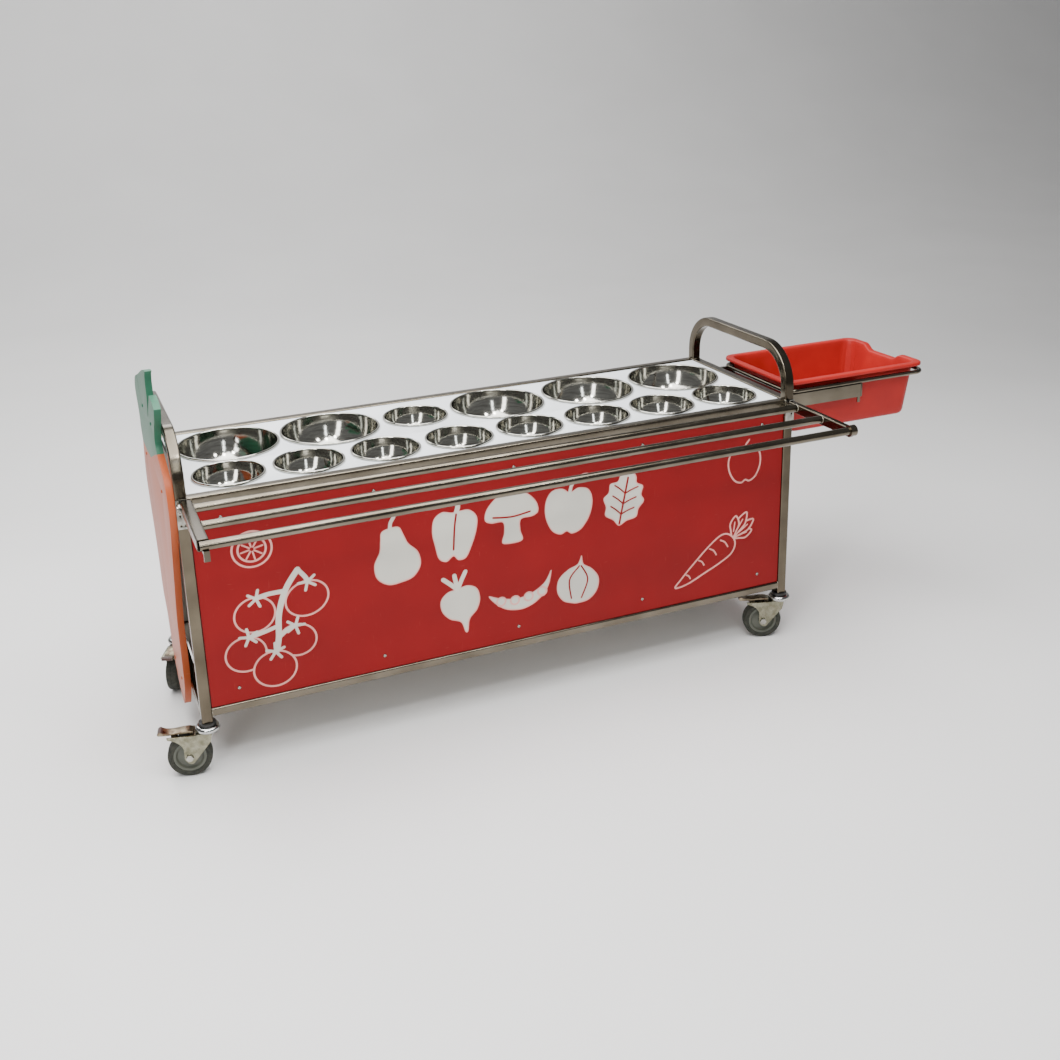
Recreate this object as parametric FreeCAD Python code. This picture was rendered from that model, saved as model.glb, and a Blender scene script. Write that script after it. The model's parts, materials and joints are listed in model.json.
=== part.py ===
import FreeCAD, Part
import math
import os

# Mobile salad bar: a wheeled steel frame with a white worktop full of loose steel bowls, red skirt
# boards, a fold-down tray slide in front, a carrot-shaped board on the left end hoop and a red
# plastic bin on a rod ring past the right end. Millimetres, +Z up.
# The model is laid out from the frame's front left corner on the floor: X runs along the front,
# Y runs to the back. Each sub-part is then moved so that the origin is under the middle of the whole.

V = FreeCAD.Vector
X_AXIS = V(1, 0, 0)
Y_AXIS = V(0, 1, 0)
Z_AXIS = V(0, 0, 1)

# ---- Frame ----
LENGTH = 1548.0            # over the two end hoops
DEPTH = 482.0              # over the legs
MID_Y = DEPTH / 2
LEG_FOOT_Z = 128.0         # the legs stand on the castors at this height
RAIL_TOP_Z = 670.0         # top of the rails round the worktop
HOOP_TOP_Z = 806.0         # top of the handle bars
TUBE = 25.0                # square tube of the hoops and top rails
LOW_TUBE = 20.0            # square tube of the bottom rails
LOW_RAIL_Z = 142.0         # underside of the bottom rails
TUBE_WALL = 2.0
TUBE_CORNER = 4.0
HOOP_BEND = 95.0           # centreline radius of the bends
WELD_PLATE = 3.0           # sheet of the small welded tabs
PAST = 1.0                 # cutting tools run this far past what they cut

# ---- Boards ----
TOP_THICK = 15.0
TOP_Z = 668.0              # worktop surface, just below the top of the rails
TOP_INSET = 28.5           # from the frame's outer faces to the worktop's edge
SKIRT_THICK = 12.0
SKIRT_RECESS = 4.5         # the skirt boards sit behind the frame's face
BOARD_GAP = 1.0
DECK_THICK = 12.0
DECK_Z = 146.0
SCREW_R = 2.0
SCREW_HEAD_R = 4.0
SCREW_HEAD = 2.2
SCREW_PLAY = 0.05
SCREW_PAST = 2.0           # how far a screw's end stands out behind its tab
SKIRT_SCREW_X = [91.0, 433.0, 775.0, 1116.0, 1458.0]
SKIRT_SCREW_Z = [198.0, 613.0]
TAB_WIDTH = 30.0
TAB_REACH = 13.0           # how far a tab runs past its screw
LEVEL_TAB = 20.0           # reach of the tabs under the worktop and the deck
LEVEL_SCREW_BITE = 9.0     # how far their screws go into the boards
FRONT_TAB_GAPS = (2, 4, 6)  # the tabs are in line with these gaps between the front bowls
BACK_TAB_X = [293.0, 750.0, 1248.0]
DECK_TAB_X = [300.0, 775.0, 1250.0]

# ---- Bowls: rim radius, floor radius, belly radius and depth ----
LARGE_BOWL = {"rim": 123.0, "floor": 58.0, "belly": 100.0, "depth": 96.0}
BOWL_BELLY = 0.46          # height of the belly point, as a share of the depth
SMALL_BOWL = {"rim": 83.0, "floor": 38.0, "belly": 66.0, "depth": 66.0}
BOWL_WALL = 1.2
RIM_ROLL = 3.0             # radius of the rolled rim
RIM_GAP = 0.3              # between a rim and the worktop
HOLE_MARGIN = 4.2          # a hole is this much smaller in radius than its bowl's rim
BACK_ROW_Y = 318.5
FRONT_ROW_Y = 110.0
BACK_ROW = [(168.0, LARGE_BOWL), (418.0, LARGE_BOWL), (639.0, SMALL_BOWL),
            (861.0, LARGE_BOWL), (1119.0, LARGE_BOWL), (1378.0, LARGE_BOWL)]
FRONT_COUNT = 8
FRONT_PITCH = 182.4
FRONT_MID_X = 771.5

# ---- Tray slide ----
TRAY_TUBE_R = 9.5
TRAY_TUBE_WALL = 1.5
TRAY_TUBE_Z = 660.0
TRAY_TUBE_Y = [-42.0, -145.0, -250.0]
ARM_TOP_Z = 669.0
ARM_HEIGHT = 25.0
ARM_BACK_Y = -11.0
LEFT_ARM_X = (8.0, 33.0)
RIGHT_ARM_X = (1526.0, 1542.0)
LEFT_ARM_FRONT_Y = -238.0
NOSE_X = (17.0, 29.0)      # tab at the front of the left arm, under the last tube
NOSE_Y = (-262.0, -238.0)
NOSE_LAP = 2.0             # how far the nose runs up beside that tube
NOSE_TAB = 6.0
NOSE_LOW_Z = 630.0
FRONT_TUBE_X = (12.0, 1540.0)
SLEEVE_R = 13.5
SLEEVE_X = (1527.0, 1544.0)
PIVOT_Y = -17.0
PIVOT_Z = 655.0
PIVOT_R = 4.0
PIVOT_PLAY = 0.05
PIVOT_HEAD_R = 6.5
PIVOT_HEAD = 3.5
EAR_R = 11.0
HINGE_LOW_Z = 602.0
HINGE_HOLES = [(7.0, 633.0), (7.0, 610.0), (17.0, 610.0)]
HINGE_HOLE_R = 2.5
ARM_EAR_GAP = 1.0

# ---- Bin and its ring at the right end ----
TUB_MID_X = 1808.0
TUB_RIM_Z = 685.0
TUB_FLOOR_Z = 534.0
TUB_WALL = 3.0
TUB_FOOT = (191.5, 133.0)  # half sizes of the outside at the floor, along X and Y
TUB_MOUTH = (208.0, 145.0)  # and at the rim
TUB_LIP = (223.0, 162.5)   # half sizes of the lip
TUB_CORNER = 28.0
LIP_CORNER = 32.0
LIP_SKIRT = 9.0
LIP_ROUND = 4.0
SCOOP_Y = (163.0, 326.0)   # the dip in the far end's rim
SCOOP_SLOPE = (38.0, 32.0)  # length of its front and back slopes
SCOOP_DEPTH = 16.0
SCOOP_STEPS = 6            # points along each slope, less one
RIB_THICK = 3.0
RIB_BITE = 2.5             # how far a rib runs into the bin's wall
RIB_GAP = 0.3              # between the ribs and the ring they stand on
SIDE_RIBS = (-110.0, 0.0, 110.0)  # along X, from the bin's middle
END_RIBS = (-115.0, 115.0)        # along Y
RING_R = 6.0
RING_Z = 658.0
RING_X = (1591.0, 2030.0)
RING_Y = (84.0, 398.0)
RING_BEND = 28.0
TUB_ARM_X = 1818.0
TUB_ARM_THICK = 12.0
TUB_ARM_HEIGHT = 36.0
TUB_ROOT_THICK = 4.0
TUB_ROOT_SIDE = 12.0       # the root plate is this much wider than the bar on each side
TUB_ROOT_LOW = 4.0         # and this much lower
TUB_ROOT_DROP = 3.0        # its top is this far below the rail's top
TUB_END_THICK = 4.0        # plate on the bar's far end
TUB_END_SIDE = 1.0
TUB_TAB_REACH = 9.0        # the small tab that hangs below the far end
TUB_TAB_WIDTH = 8.0
TUB_TAB_THICK = 4.0
TUB_TAB_DROP = 15.0

# ---- Carrot board on the left hoop: outline points are (Y, Z) ----
CARROT_THICK = 15.0
CARROT_SHOULDER = (440.0, 673.0)
CARROT_NECK = (107.0, 740.0)
CARROT_CROWN = [CARROT_SHOULDER, (358.0, 673.0), (273.0, 681.0), (157.0, 724.0), CARROT_NECK]
CARROT_EDGE = [CARROT_NECK, (56.0, 722.0), (18.0, 700.0), (4.0, 668.0), (5.0, 622.0), (31.0, 558.0),
               (77.0, 455.0), (112.0, 374.0), (130.0, 320.0), (134.0, 260.0), (139.0, 199.0),
               (150.0, 150.0), (180.0, 102.0), (216.0, 71.0), (262.0, 80.0), (318.0, 118.0),
               (362.0, 190.0), (379.0, 245.0), (410.0, 278.0), (419.0, 316.0), (427.0, 383.0),
               (445.0, 455.0), (469.0, 514.0), (478.0, 560.0), (470.0, 606.0), (457.0, 637.0)]
LEAF_STRETCHES = [
    [CARROT_NECK, (121.0, 769.0), (100.0, 800.0), (72.0, 829.0), (54.0, 856.0)],
    [(54.0, 856.0), (90.0, 867.0), (129.0, 868.0)],
    [(129.0, 868.0), (216.0, 793.0)],
    [(216.0, 793.0), (205.0, 815.0), (187.0, 846.0), (184.0, 877.0), (150.0, 916.0)],
    [(150.0, 916.0), (212.0, 905.0), (300.0, 878.0), (384.0, 852.0)],
    [(384.0, 852.0), (345.0, 800.0)],
    [(345.0, 800.0), (388.0, 850.0)],
    [(388.0, 850.0), (420.0, 841.0), (462.0, 819.0), (479.0, 794.0)],
    [(479.0, 794.0), (466.0, 767.0), (452.0, 741.0), (455.0, 708.0)],
    [(455.0, 708.0), CARROT_SHOULDER],
]
CARROT_SCREWS = [(100.0, 657.5), (380.0, 657.5), (190.0, 152.0), (300.0, 152.0)]
LEAF_SCREWS = [(165.0, 793.5), (320.0, 793.5)]

# ---- Castors, drawn with the wheel trailing along +X of the castor's own frame ----
WHEEL_R = 50.0
TRAIL = 45.0
TYRE_INNER_R = 37.0
TYRE_HALF = 15.0
TYRE_ROUND = 5.0
HUB_BOSS_R = 10.0
HUB_BOSS_HALF = 17.2
HUB_WEB_HALF = 5.0
HUB_RIM_R = 31.0
HUB_RIM_HALF = 13.0
AXLE_R = 5.0
AXLE_PLAY = 0.05
AXLE_HEAD_R = 7.5
AXLE_HEAD = 3.5
CHEEK_IN = 17.5            # half the width between the fork's cheeks
CHEEK_THICK = 2.5
FORK_TOP_Z = 107.0
CROWN_REACH = 41.0         # the crown plate ends here and leaves the pedal its slot
FORK_FLANGE = 3.0
FLANGE_X = (24.0, 88.0)
CHEEK = [                  # outline of a cheek, in the castor's X and Z
    [(0.0, FORK_TOP_Z), (-9.0, 104.5)],
    [(-9.0, 104.5), (-5.0, 86.0)],
    [(-5.0, 86.0), (35.0, 38.0)],
    [(35.0, 38.0), (41.0, 34.5), (49.0, 38.0), (56.0, 51.0)],
    [(56.0, 51.0), (56.0, 70.0)],
    [(56.0, 70.0), (60.0, 83.0), (70.0, 93.0), (89.0, 101.0)],
    [(89.0, 101.0), (91.0, FORK_TOP_Z)],
    [(91.0, FORK_TOP_Z), (0.0, FORK_TOP_Z)],
]
RACE_R = 28.5              # the round swivel head
RACE_TOP_R = 21.5
RACE_TOP_Z = 121.0
STEM_R = 6.0
STEM_LOW_Z = 96.0
STEM_NUT_R = 10.0
STEM_NUT = 6.0
CAP_R = 19.5
CAP_GAP = 0.5
PLUG_SIDE = 20.8           # square plug inside the leg
PLUG_HEIGHT = 40.0
PEDAL_PIN = (74.0, 103.0)
PEDAL_PIN_R = 2.5
PEDAL_HALF = 13.0
PEDAL_TREAD = [            # outlines in the castor's X and Z
    [(32.0, 109.5), (32.5, 113.5)],
    [(32.5, 113.5), (60.0, 114.5), (88.0, 113.5), (100.0, 117.5)],
    [(100.0, 117.5), (107.0, 119.0), (111.0, 114.5), (106.5, 110.0)],
    [(106.5, 110.0), (92.0, 109.5)],
    [(92.0, 109.5), (32.0, 109.5)],
]
PEDAL_NOSE = [
    [(67.0, 110.0), (67.5, 101.0)],
    [(67.5, 101.0), (69.5, 95.5), (73.3, 93.0), (78.0, 96.0), (81.0, 104.0)],
    [(81.0, 104.0), (81.0, 110.0)],
    [(81.0, 110.0), (67.0, 110.0)],
]
CASTORS = {                # stem place, and where the wheel points
    "front_left": (TUBE / 2, TUBE / 2, 168.0),
    "front_right": (LENGTH - TUBE / 2, TUBE / 2, 160.0),
    "back_left": (TUBE / 2, DEPTH - TUBE / 2, 246.0),
    "back_right": (LENGTH - TUBE / 2, DEPTH - TUBE / 2, 205.0),
}


# ---- Shapes used throughout ----

def box(x_range, y_range, z_range):
    low = V(x_range[0], y_range[0], z_range[0])
    return Part.makeBox(x_range[1] - x_range[0], y_range[1] - y_range[0], z_range[1] - z_range[0], low)


def rod(radius, start, end):
    """Round bar between two points."""
    run = end - start
    return Part.makeCylinder(radius, run.Length, start, run)


def hexagon_bar(across, start, end):
    """Six-sided bar between two points, for nuts."""
    run = end - start
    side = run.cross(Z_AXIS if abs(run.z) < run.Length / 2 else X_AXIS).normalize()
    other = run.cross(side).normalize()
    corner_r = across / math.sqrt(3)
    corners = []
    for n in range(7):
        turn = math.radians(60 * n)
        corners.append(start + side * (corner_r * math.cos(turn)) + other * (corner_r * math.sin(turn)))
    return Part.Face(Part.makePolygon(corners)).extrude(run)


def rounded_rectangle(centre, across, up, width, height, radius):
    """Closed wire of a rectangle with round corners, in the plane of two directions."""
    arcs = []
    for n, (side_a, side_b) in enumerate([(1, -1), (1, 1), (-1, 1), (-1, -1)]):
        corner = (centre + across * (side_a * (width / 2 - radius))
                  + up * (side_b * (height / 2 - radius)))
        points = []
        for degrees in (90 * n - 90, 90 * n - 45, 90 * n):
            turn = math.radians(degrees)
            points.append(corner + across * (radius * math.cos(turn)) + up * (radius * math.sin(turn)))
        arcs.append(points)
    edges = []
    for n, points in enumerate(arcs):
        edges.append(Part.Arc(*points).toShape())
        edges.append(Part.makeLine(points[2], arcs[(n + 1) % 4][0]))
    return Part.Wire(edges)


def rectangular_tube(start, end, width, height, wall=TUBE_WALL, corner=TUBE_CORNER):
    """Hollow level tube along X or Y, with its width level and its height upright."""
    run = end - start
    across = run.cross(Z_AXIS).normalize()
    outside = Part.Face(rounded_rectangle(start, across, Z_AXIS, width, height, corner))
    inside = Part.Face(rounded_rectangle(start, across, Z_AXIS, width - 2 * wall, height - 2 * wall,
                                         corner - wall))
    return outside.extrude(run).cut(inside.extrude(run))


def round_tube(radius, wall, start, end):
    return rod(radius, start, end).cut(rod(radius - wall, start, end))


def outline_face(stretches, to_point):
    """Flat face from stretches of 2D points: two points make a line, more make a smooth curve."""
    edges = []
    for stretch in stretches:
        points = [to_point(a, b) for a, b in stretch]
        if len(points) == 2:
            edges.append(Part.makeLine(points[0], points[1]))
        else:
            curve = Part.BSplineCurve()
            curve.interpolate(points)
            edges.append(curve.toShape())
    return Part.Face(Part.Wire(edges))


def screw(seat, into, length):
    """Pan-head screw with its head on the seat point and its shank going into the board."""
    head = rod(SCREW_HEAD_R, seat - into * SCREW_HEAD, seat)
    top = [edge for edge in head.Edges if (edge.CenterOfMass - (seat - into * SCREW_HEAD)).Length < 0.1]
    head = head.makeFillet(SCREW_HEAD / 2, top[:1])
    return head.fuse(rod(SCREW_R, seat, seat + into * length)).removeSplitter()


def screw_hole(seat, into, length):
    return rod(SCREW_R + SCREW_PLAY, seat - into * PAST, seat + into * (length + PAST))


def mirrored_y(shape):
    """The same shape on the other side of the frame's middle, front to back."""
    return shape.mirror(V(0, MID_Y, 0), Y_AXIS)


def group(solids):
    return Part.makeCompound(solids)


# ---- Frame ----

def hoop(x_mid):
    """Two legs and the handle bar, bent from one square tube."""
    low = TUBE / 2
    high = HOOP_TOP_Z - TUBE / 2
    far = DEPTH - TUBE / 2
    bend = HOOP_BEND
    inner = bend * (1 - math.sqrt(0.5))
    p = [V(x_mid, low, LEG_FOOT_Z), V(x_mid, low, high - bend),
         V(x_mid, low + inner, high - inner), V(x_mid, low + bend, high),
         V(x_mid, far - bend, high), V(x_mid, far - inner, high - inner),
         V(x_mid, far, high - bend), V(x_mid, far, LEG_FOOT_Z)]
    path = Part.Wire([Part.makeLine(p[0], p[1]), Part.Arc(p[1], p[2], p[3]).toShape(),
                      Part.makeLine(p[3], p[4]), Part.Arc(p[4], p[5], p[6]).toShape(),
                      Part.makeLine(p[6], p[7])])
    bore = TUBE - 2 * TUBE_WALL
    outside = rounded_rectangle(p[0], X_AXIS, Y_AXIS, TUBE, TUBE, TUBE_CORNER)
    inside = rounded_rectangle(p[0], X_AXIS, Y_AXIS, bore, bore, TUBE_CORNER - TUBE_WALL)
    return path.makePipeShell([outside], True, False).cut(path.makePipeShell([inside], True, False))


def top_rails():
    mid = TUBE / 2
    z = RAIL_TOP_Z - mid
    front = rectangular_tube(V(TUBE, mid, z), V(LENGTH - TUBE, mid, z), TUBE, TUBE)
    left = rectangular_tube(V(mid, TUBE, z), V(mid, DEPTH - TUBE, z), TUBE, TUBE)
    return {"front": front, "back": mirrored_y(front), "left": left,
            "right": left.translated(V(LENGTH - TUBE, 0, 0))}


def bottom_rails():
    mid = LOW_TUBE / 2
    z = LOW_RAIL_Z + mid
    front = rectangular_tube(V(TUBE, mid, z), V(LENGTH - TUBE, mid, z), LOW_TUBE, LOW_TUBE)
    left = rectangular_tube(V(mid, TUBE, z), V(mid, DEPTH - TUBE, z), LOW_TUBE, LOW_TUBE)
    return {"front": front, "back": mirrored_y(front), "left": left,
            "right": left.translated(V(LENGTH - LOW_TUBE, 0, 0))}


# ---- Bowls ----

def bowl_places():
    """Name, place and size of each bowl, each row counted from the left."""
    places = []
    for n, (x, size) in enumerate(BACK_ROW):
        places.append(("bowl_back_%d" % (n + 1), x, BACK_ROW_Y, size))
    for n in range(FRONT_COUNT):
        x = FRONT_MID_X + (n - (FRONT_COUNT - 1) / 2) * FRONT_PITCH
        places.append(("bowl_front_%d" % (n + 1), x, FRONT_ROW_Y, SMALL_BOWL))
    return places


def bowl(x, y, size):
    """Spun steel bowl with a flat floor and a rolled rim that hangs on the worktop."""
    roll_z = TOP_Z + RIM_GAP + RIM_ROLL
    roll_r = size["rim"] - RIM_ROLL
    lip_r = roll_r - RIM_ROLL
    floor_z = TOP_Z - size["depth"]
    wall = BOWL_WALL
    under = math.sqrt(RIM_ROLL ** 2 - (RIM_ROLL - wall) ** 2)
    belly_z = floor_z + size["depth"] * BOWL_BELLY

    def at(r, z):
        return V(x + r, y, z)

    rim = Part.Arc(at(lip_r, roll_z), at(roll_r + RIM_ROLL, roll_z), at(lip_r + wall, roll_z - under))
    outer = Part.Arc(at(lip_r + wall, roll_z - under), at(size["belly"] + wall, belly_z - wall / 2),
                     at(size["floor"], floor_z))
    inner = Part.Arc(at(size["floor"] - wall / 4, floor_z + wall), at(size["belly"], belly_z),
                     at(lip_r, roll_z))
    edges = [rim.toShape(), outer.toShape(), Part.makeLine(at(size["floor"], floor_z), at(0, floor_z)),
             Part.makeLine(at(0, floor_z), at(0, floor_z + wall)),
             Part.makeLine(at(0, floor_z + wall), at(size["floor"] - wall / 4, floor_z + wall)),
             inner.toShape()]
    return Part.Face(Part.Wire(edges)).revolve(V(x, y, 0), Z_AXIS, 360)


# ---- Boards, tabs and screws ----

def skirt_fixings():
    """Welded tabs and the screws that hold the boards to them: each screw is (seat, into, length)."""
    skirt_tabs = []
    skirt_screws = []
    tab_front = SKIRT_RECESS + SKIRT_THICK
    tab_y = (tab_front, tab_front + WELD_PLATE)
    tab_spans = [(LOW_RAIL_Z + LOW_TUBE, SKIRT_SCREW_Z[0] + TAB_REACH),
                 (SKIRT_SCREW_Z[1] - TAB_REACH, RAIL_TOP_Z - TUBE)]
    for x in SKIRT_SCREW_X:
        for z, tab_z in zip(SKIRT_SCREW_Z, tab_spans):
            skirt_tabs.append(box((x - TAB_WIDTH / 2, x + TAB_WIDTH / 2), tab_y, tab_z))
            skirt_screws.append((V(x, SKIRT_RECESS, z), Y_AXIS, SKIRT_THICK + WELD_PLATE + SCREW_PAST))
    return skirt_tabs, skirt_screws


def level_fixings():
    """Tabs under the worktop and under the deck, each with a screw from below."""
    tabs = []
    screws = []
    worktop_low = TOP_Z - TOP_THICK
    front_gaps = [FRONT_MID_X + (n - FRONT_COUNT / 2) * FRONT_PITCH for n in FRONT_TAB_GAPS]
    rows = [(front_gaps, TUBE, worktop_low, False), (BACK_TAB_X, TUBE, worktop_low, True),
            (DECK_TAB_X, LOW_TUBE, DECK_Z, False), (DECK_TAB_X, LOW_TUBE, DECK_Z, True)]
    for row, rail, z, at_back in rows:
        for x in row:
            tab = box((x - TAB_WIDTH / 2, x + TAB_WIDTH / 2), (rail, rail + LEVEL_TAB), (z - WELD_PLATE, z))
            y = rail + LEVEL_TAB / 2
            tabs.append(mirrored_y(tab) if at_back else tab)
            screws.append((V(x, DEPTH - y if at_back else y, z - WELD_PLATE), Z_AXIS,
                           WELD_PLATE + LEVEL_SCREW_BITE))
    return tabs, screws


def carrot_fixings():
    """Screws through the carrot boards into the left hoop and its rails."""
    return [(V(-CARROT_THICK, y, z), X_AXIS, CARROT_THICK + TUBE_WALL + SCREW_PAST)
            for y, z in CARROT_SCREWS + LEAF_SCREWS]


def drilled(shape, screws):
    """The shape with clearance holes for the screws that reach it."""
    for seat, into, length in screws:
        hole = screw_hole(seat, into, length)
        if shape.BoundBox.intersect(hole.BoundBox):
            shape = shape.cut(hole)
    return shape


def worktop(places):
    """White board with a round hole for each bowl."""
    board = box((TOP_INSET, LENGTH - TOP_INSET), (TOP_INSET, DEPTH - TOP_INSET), (TOP_Z - TOP_THICK, TOP_Z))
    for name, x, y, size in places:
        low = V(x, y, TOP_Z - TOP_THICK - PAST)
        board = board.cut(rod(size["rim"] - HOLE_MARGIN, low, V(x, y, TOP_Z + PAST)))
    return board


def front_skirt():
    return box((TUBE + BOARD_GAP, LENGTH - TUBE - BOARD_GAP), (SKIRT_RECESS, SKIRT_RECESS + SKIRT_THICK),
               (LOW_RAIL_Z + LOW_TUBE + BOARD_GAP, RAIL_TOP_Z - TUBE - BOARD_GAP))


def deck():
    edge = TUBE + BOARD_GAP
    inset = LOW_TUBE + BOARD_GAP / 2
    return box((edge, LENGTH - edge), (inset, DEPTH - inset), (DECK_Z, DECK_Z + DECK_THICK))


def carrot_boards():
    """Root and leaves, cut from board and laid edge to edge on the hoop's outer face."""
    def on_board(y, z):
        return V(-CARROT_THICK, y, z)

    crown_lines = [[a, b] for a, b in zip(CARROT_CROWN[:-1], CARROT_CROWN[1:])]
    shoulder = [[CARROT_EDGE[-1], CARROT_SHOULDER]]
    depth = V(CARROT_THICK, 0, 0)
    root = outline_face([CARROT_EDGE] + shoulder + crown_lines, on_board).extrude(depth)
    leaves = outline_face(LEAF_STRETCHES + crown_lines, on_board).extrude(depth)
    return root, leaves


# ---- Tray slide ----

def tray_arm(x_range, front_y, front_tube_r):
    """Bracket tube, notched to fit the tube across its front end and bored for its pivot."""
    x_mid = sum(x_range) / 2
    z_mid = ARM_TOP_Z - ARM_HEIGHT / 2
    arm = rectangular_tube(V(x_mid, ARM_BACK_Y, z_mid), V(x_mid, front_y, z_mid),
                           x_range[1] - x_range[0], ARM_HEIGHT)
    return arm.cut(pivot_bore(x_range)).cut(front_tube_cutter(x_range, front_tube_r))


def pivot_bore(x_range):
    low = V(x_range[0] - PAST, PIVOT_Y, PIVOT_Z)
    return rod(PIVOT_R + PIVOT_PLAY, low, V(x_range[1] + PAST, PIVOT_Y, PIVOT_Z))


def front_tube_cutter(x_range, radius):
    y = TRAY_TUBE_Y[-1]
    return rod(radius, V(x_range[0] - PAST, y, TRAY_TUBE_Z), V(x_range[1] + PAST, y, TRAY_TUBE_Z))


def left_arm():
    """The left bracket, with a flat nose under the front tube that ends in a short tab."""
    arm = tray_arm(LEFT_ARM_X, LEFT_ARM_FRONT_Y, TRAY_TUBE_R)
    low = ARM_TOP_Z - ARM_HEIGHT
    nose = box(NOSE_X, NOSE_Y, (low, TRAY_TUBE_Z - TRAY_TUBE_R + NOSE_LAP))
    tab = box(NOSE_X, (NOSE_Y[0], NOSE_Y[0] + NOSE_TAB), (NOSE_LOW_Z, low))
    nose = nose.fuse(tab).cut(front_tube_cutter(NOSE_X, TRAY_TUBE_R))
    return arm.fuse(nose).removeSplitter()


def tray_tubes():
    """Two tubes between the arms, one across their front, and a sleeve on its right end."""
    spans = [(LEFT_ARM_X[1], RIGHT_ARM_X[0])] * 2 + [FRONT_TUBE_X]
    tubes = []
    for y, (x0, x1) in zip(TRAY_TUBE_Y, spans):
        tubes.append(round_tube(TRAY_TUBE_R, TRAY_TUBE_WALL, V(x0, y, TRAY_TUBE_Z), V(x1, y, TRAY_TUBE_Z)))
    sleeve_wall = SLEEVE_R - TRAY_TUBE_R - AXLE_PLAY
    tubes.append(round_tube(SLEEVE_R, sleeve_wall, V(SLEEVE_X[0], TRAY_TUBE_Y[-1], TRAY_TUBE_Z),
                            V(SLEEVE_X[1], TRAY_TUBE_Y[-1], TRAY_TUBE_Z)))
    return group(tubes)


def tray_hinge(leg_x, hole_x, ear_x, arm_x):
    """Plate on the leg with a round-nosed ear, and the bolt that the arm turns on."""
    plate = box((leg_x, leg_x + TUBE), (-WELD_PLATE, 0), (HINGE_LOW_Z, ARM_TOP_Z))
    for x, z in HINGE_HOLES:
        plate = plate.cut(rod(HINGE_HOLE_R, V(hole_x(x), -WELD_PLATE - PAST, z), V(hole_x(x), PAST, z)))
    ear_end = V(ear_x + WELD_PLATE, PIVOT_Y, PIVOT_Z)
    ear = box((ear_x, ear_x + WELD_PLATE), (PIVOT_Y, -WELD_PLATE), (PIVOT_Z - EAR_R, PIVOT_Z + EAR_R))
    ear = ear.fuse(rod(EAR_R, V(ear_x, PIVOT_Y, PIVOT_Z), ear_end))
    bracket = plate.fuse(ear).removeSplitter()
    bracket = bracket.cut(pivot_bore((ear_x, ear_x + WELD_PLATE)))
    left = min(ear_x, arm_x[0]) - AXLE_PLAY
    right = max(ear_x + WELD_PLATE, arm_x[1]) + AXLE_PLAY
    bolt = rod(PIVOT_R, V(left, PIVOT_Y, PIVOT_Z), V(right, PIVOT_Y, PIVOT_Z))
    for x, way in ((left, -1), (right, 1)):
        bolt = bolt.fuse(rod(PIVOT_HEAD_R, V(x, PIVOT_Y, PIVOT_Z), V(x + way * PIVOT_HEAD, PIVOT_Y, PIVOT_Z)))
    return [bracket, bolt.removeSplitter()]


def tray_hinges():
    left = tray_hinge(0, lambda x: x, LEFT_ARM_X[0] - ARM_EAR_GAP - WELD_PLATE, LEFT_ARM_X)
    right = tray_hinge(LENGTH - TUBE, lambda x: LENGTH - x, RIGHT_ARM_X[0] - ARM_EAR_GAP - WELD_PLATE,
                       RIGHT_ARM_X)
    return group(left + right)


# ---- Bin, ring and ring arms ----

def tub_outline(z, inset=0.0):
    """Outline of the tapering bin at one height, drawn in by an inset."""
    rise = (z - TUB_FLOOR_Z) / (TUB_RIM_Z - TUB_FLOOR_Z)
    half_x = TUB_FOOT[0] + (TUB_MOUTH[0] - TUB_FOOT[0]) * rise - inset
    half_y = TUB_FOOT[1] + (TUB_MOUTH[1] - TUB_FOOT[1]) * rise - inset
    return rounded_rectangle(V(TUB_MID_X, MID_Y, z), X_AXIS, Y_AXIS, 2 * half_x, 2 * half_y,
                             TUB_CORNER - inset)


def lip_block(inset, low, high):
    face = Part.Face(rounded_rectangle(V(TUB_MID_X, MID_Y, low), X_AXIS, Y_AXIS, 2 * (TUB_LIP[0] - inset),
                                       2 * (TUB_LIP[1] - inset), LIP_CORNER - inset))
    return face.extrude(V(0, 0, high - low))


def scoop_slope(start, run, falling, drop):
    """Points of one slope of the dip in the far end's rim, a given distance below the rim."""
    points = []
    for n in range(SCOOP_STEPS + 1):
        t = n / SCOOP_STEPS
        fall = (1 - math.cos(math.pi * t)) / 2 if falling else (1 + math.cos(math.pi * t)) / 2
        points.append((start + run * t, TUB_RIM_Z - drop - SCOOP_DEPTH * fall))
    return points


def scoop_line(drop):
    """The dip as stretches of points: down, level and up again."""
    down = scoop_slope(SCOOP_Y[0], SCOOP_SLOPE[0], True, drop)
    up = scoop_slope(SCOOP_Y[1] - SCOOP_SLOPE[1], SCOOP_SLOPE[1], False, drop)
    return [down, [down[-1], up[0]], up]


def scoop_band(x_range, low_drop, high_drop):
    """Solid between two copies of the dip's line, run along X."""
    low = scoop_line(low_drop)
    high = [stretch[::-1] for stretch in scoop_line(high_drop)[::-1]]
    stretches = low + [[low[-1][-1], high[0][0]]] + high + [[high[-1][-1], low[0][0]]]
    return outline_face(stretches, lambda y, z: V(x_range[0], y, z)).extrude(V(x_range[1] - x_range[0], 0, 0))


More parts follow.
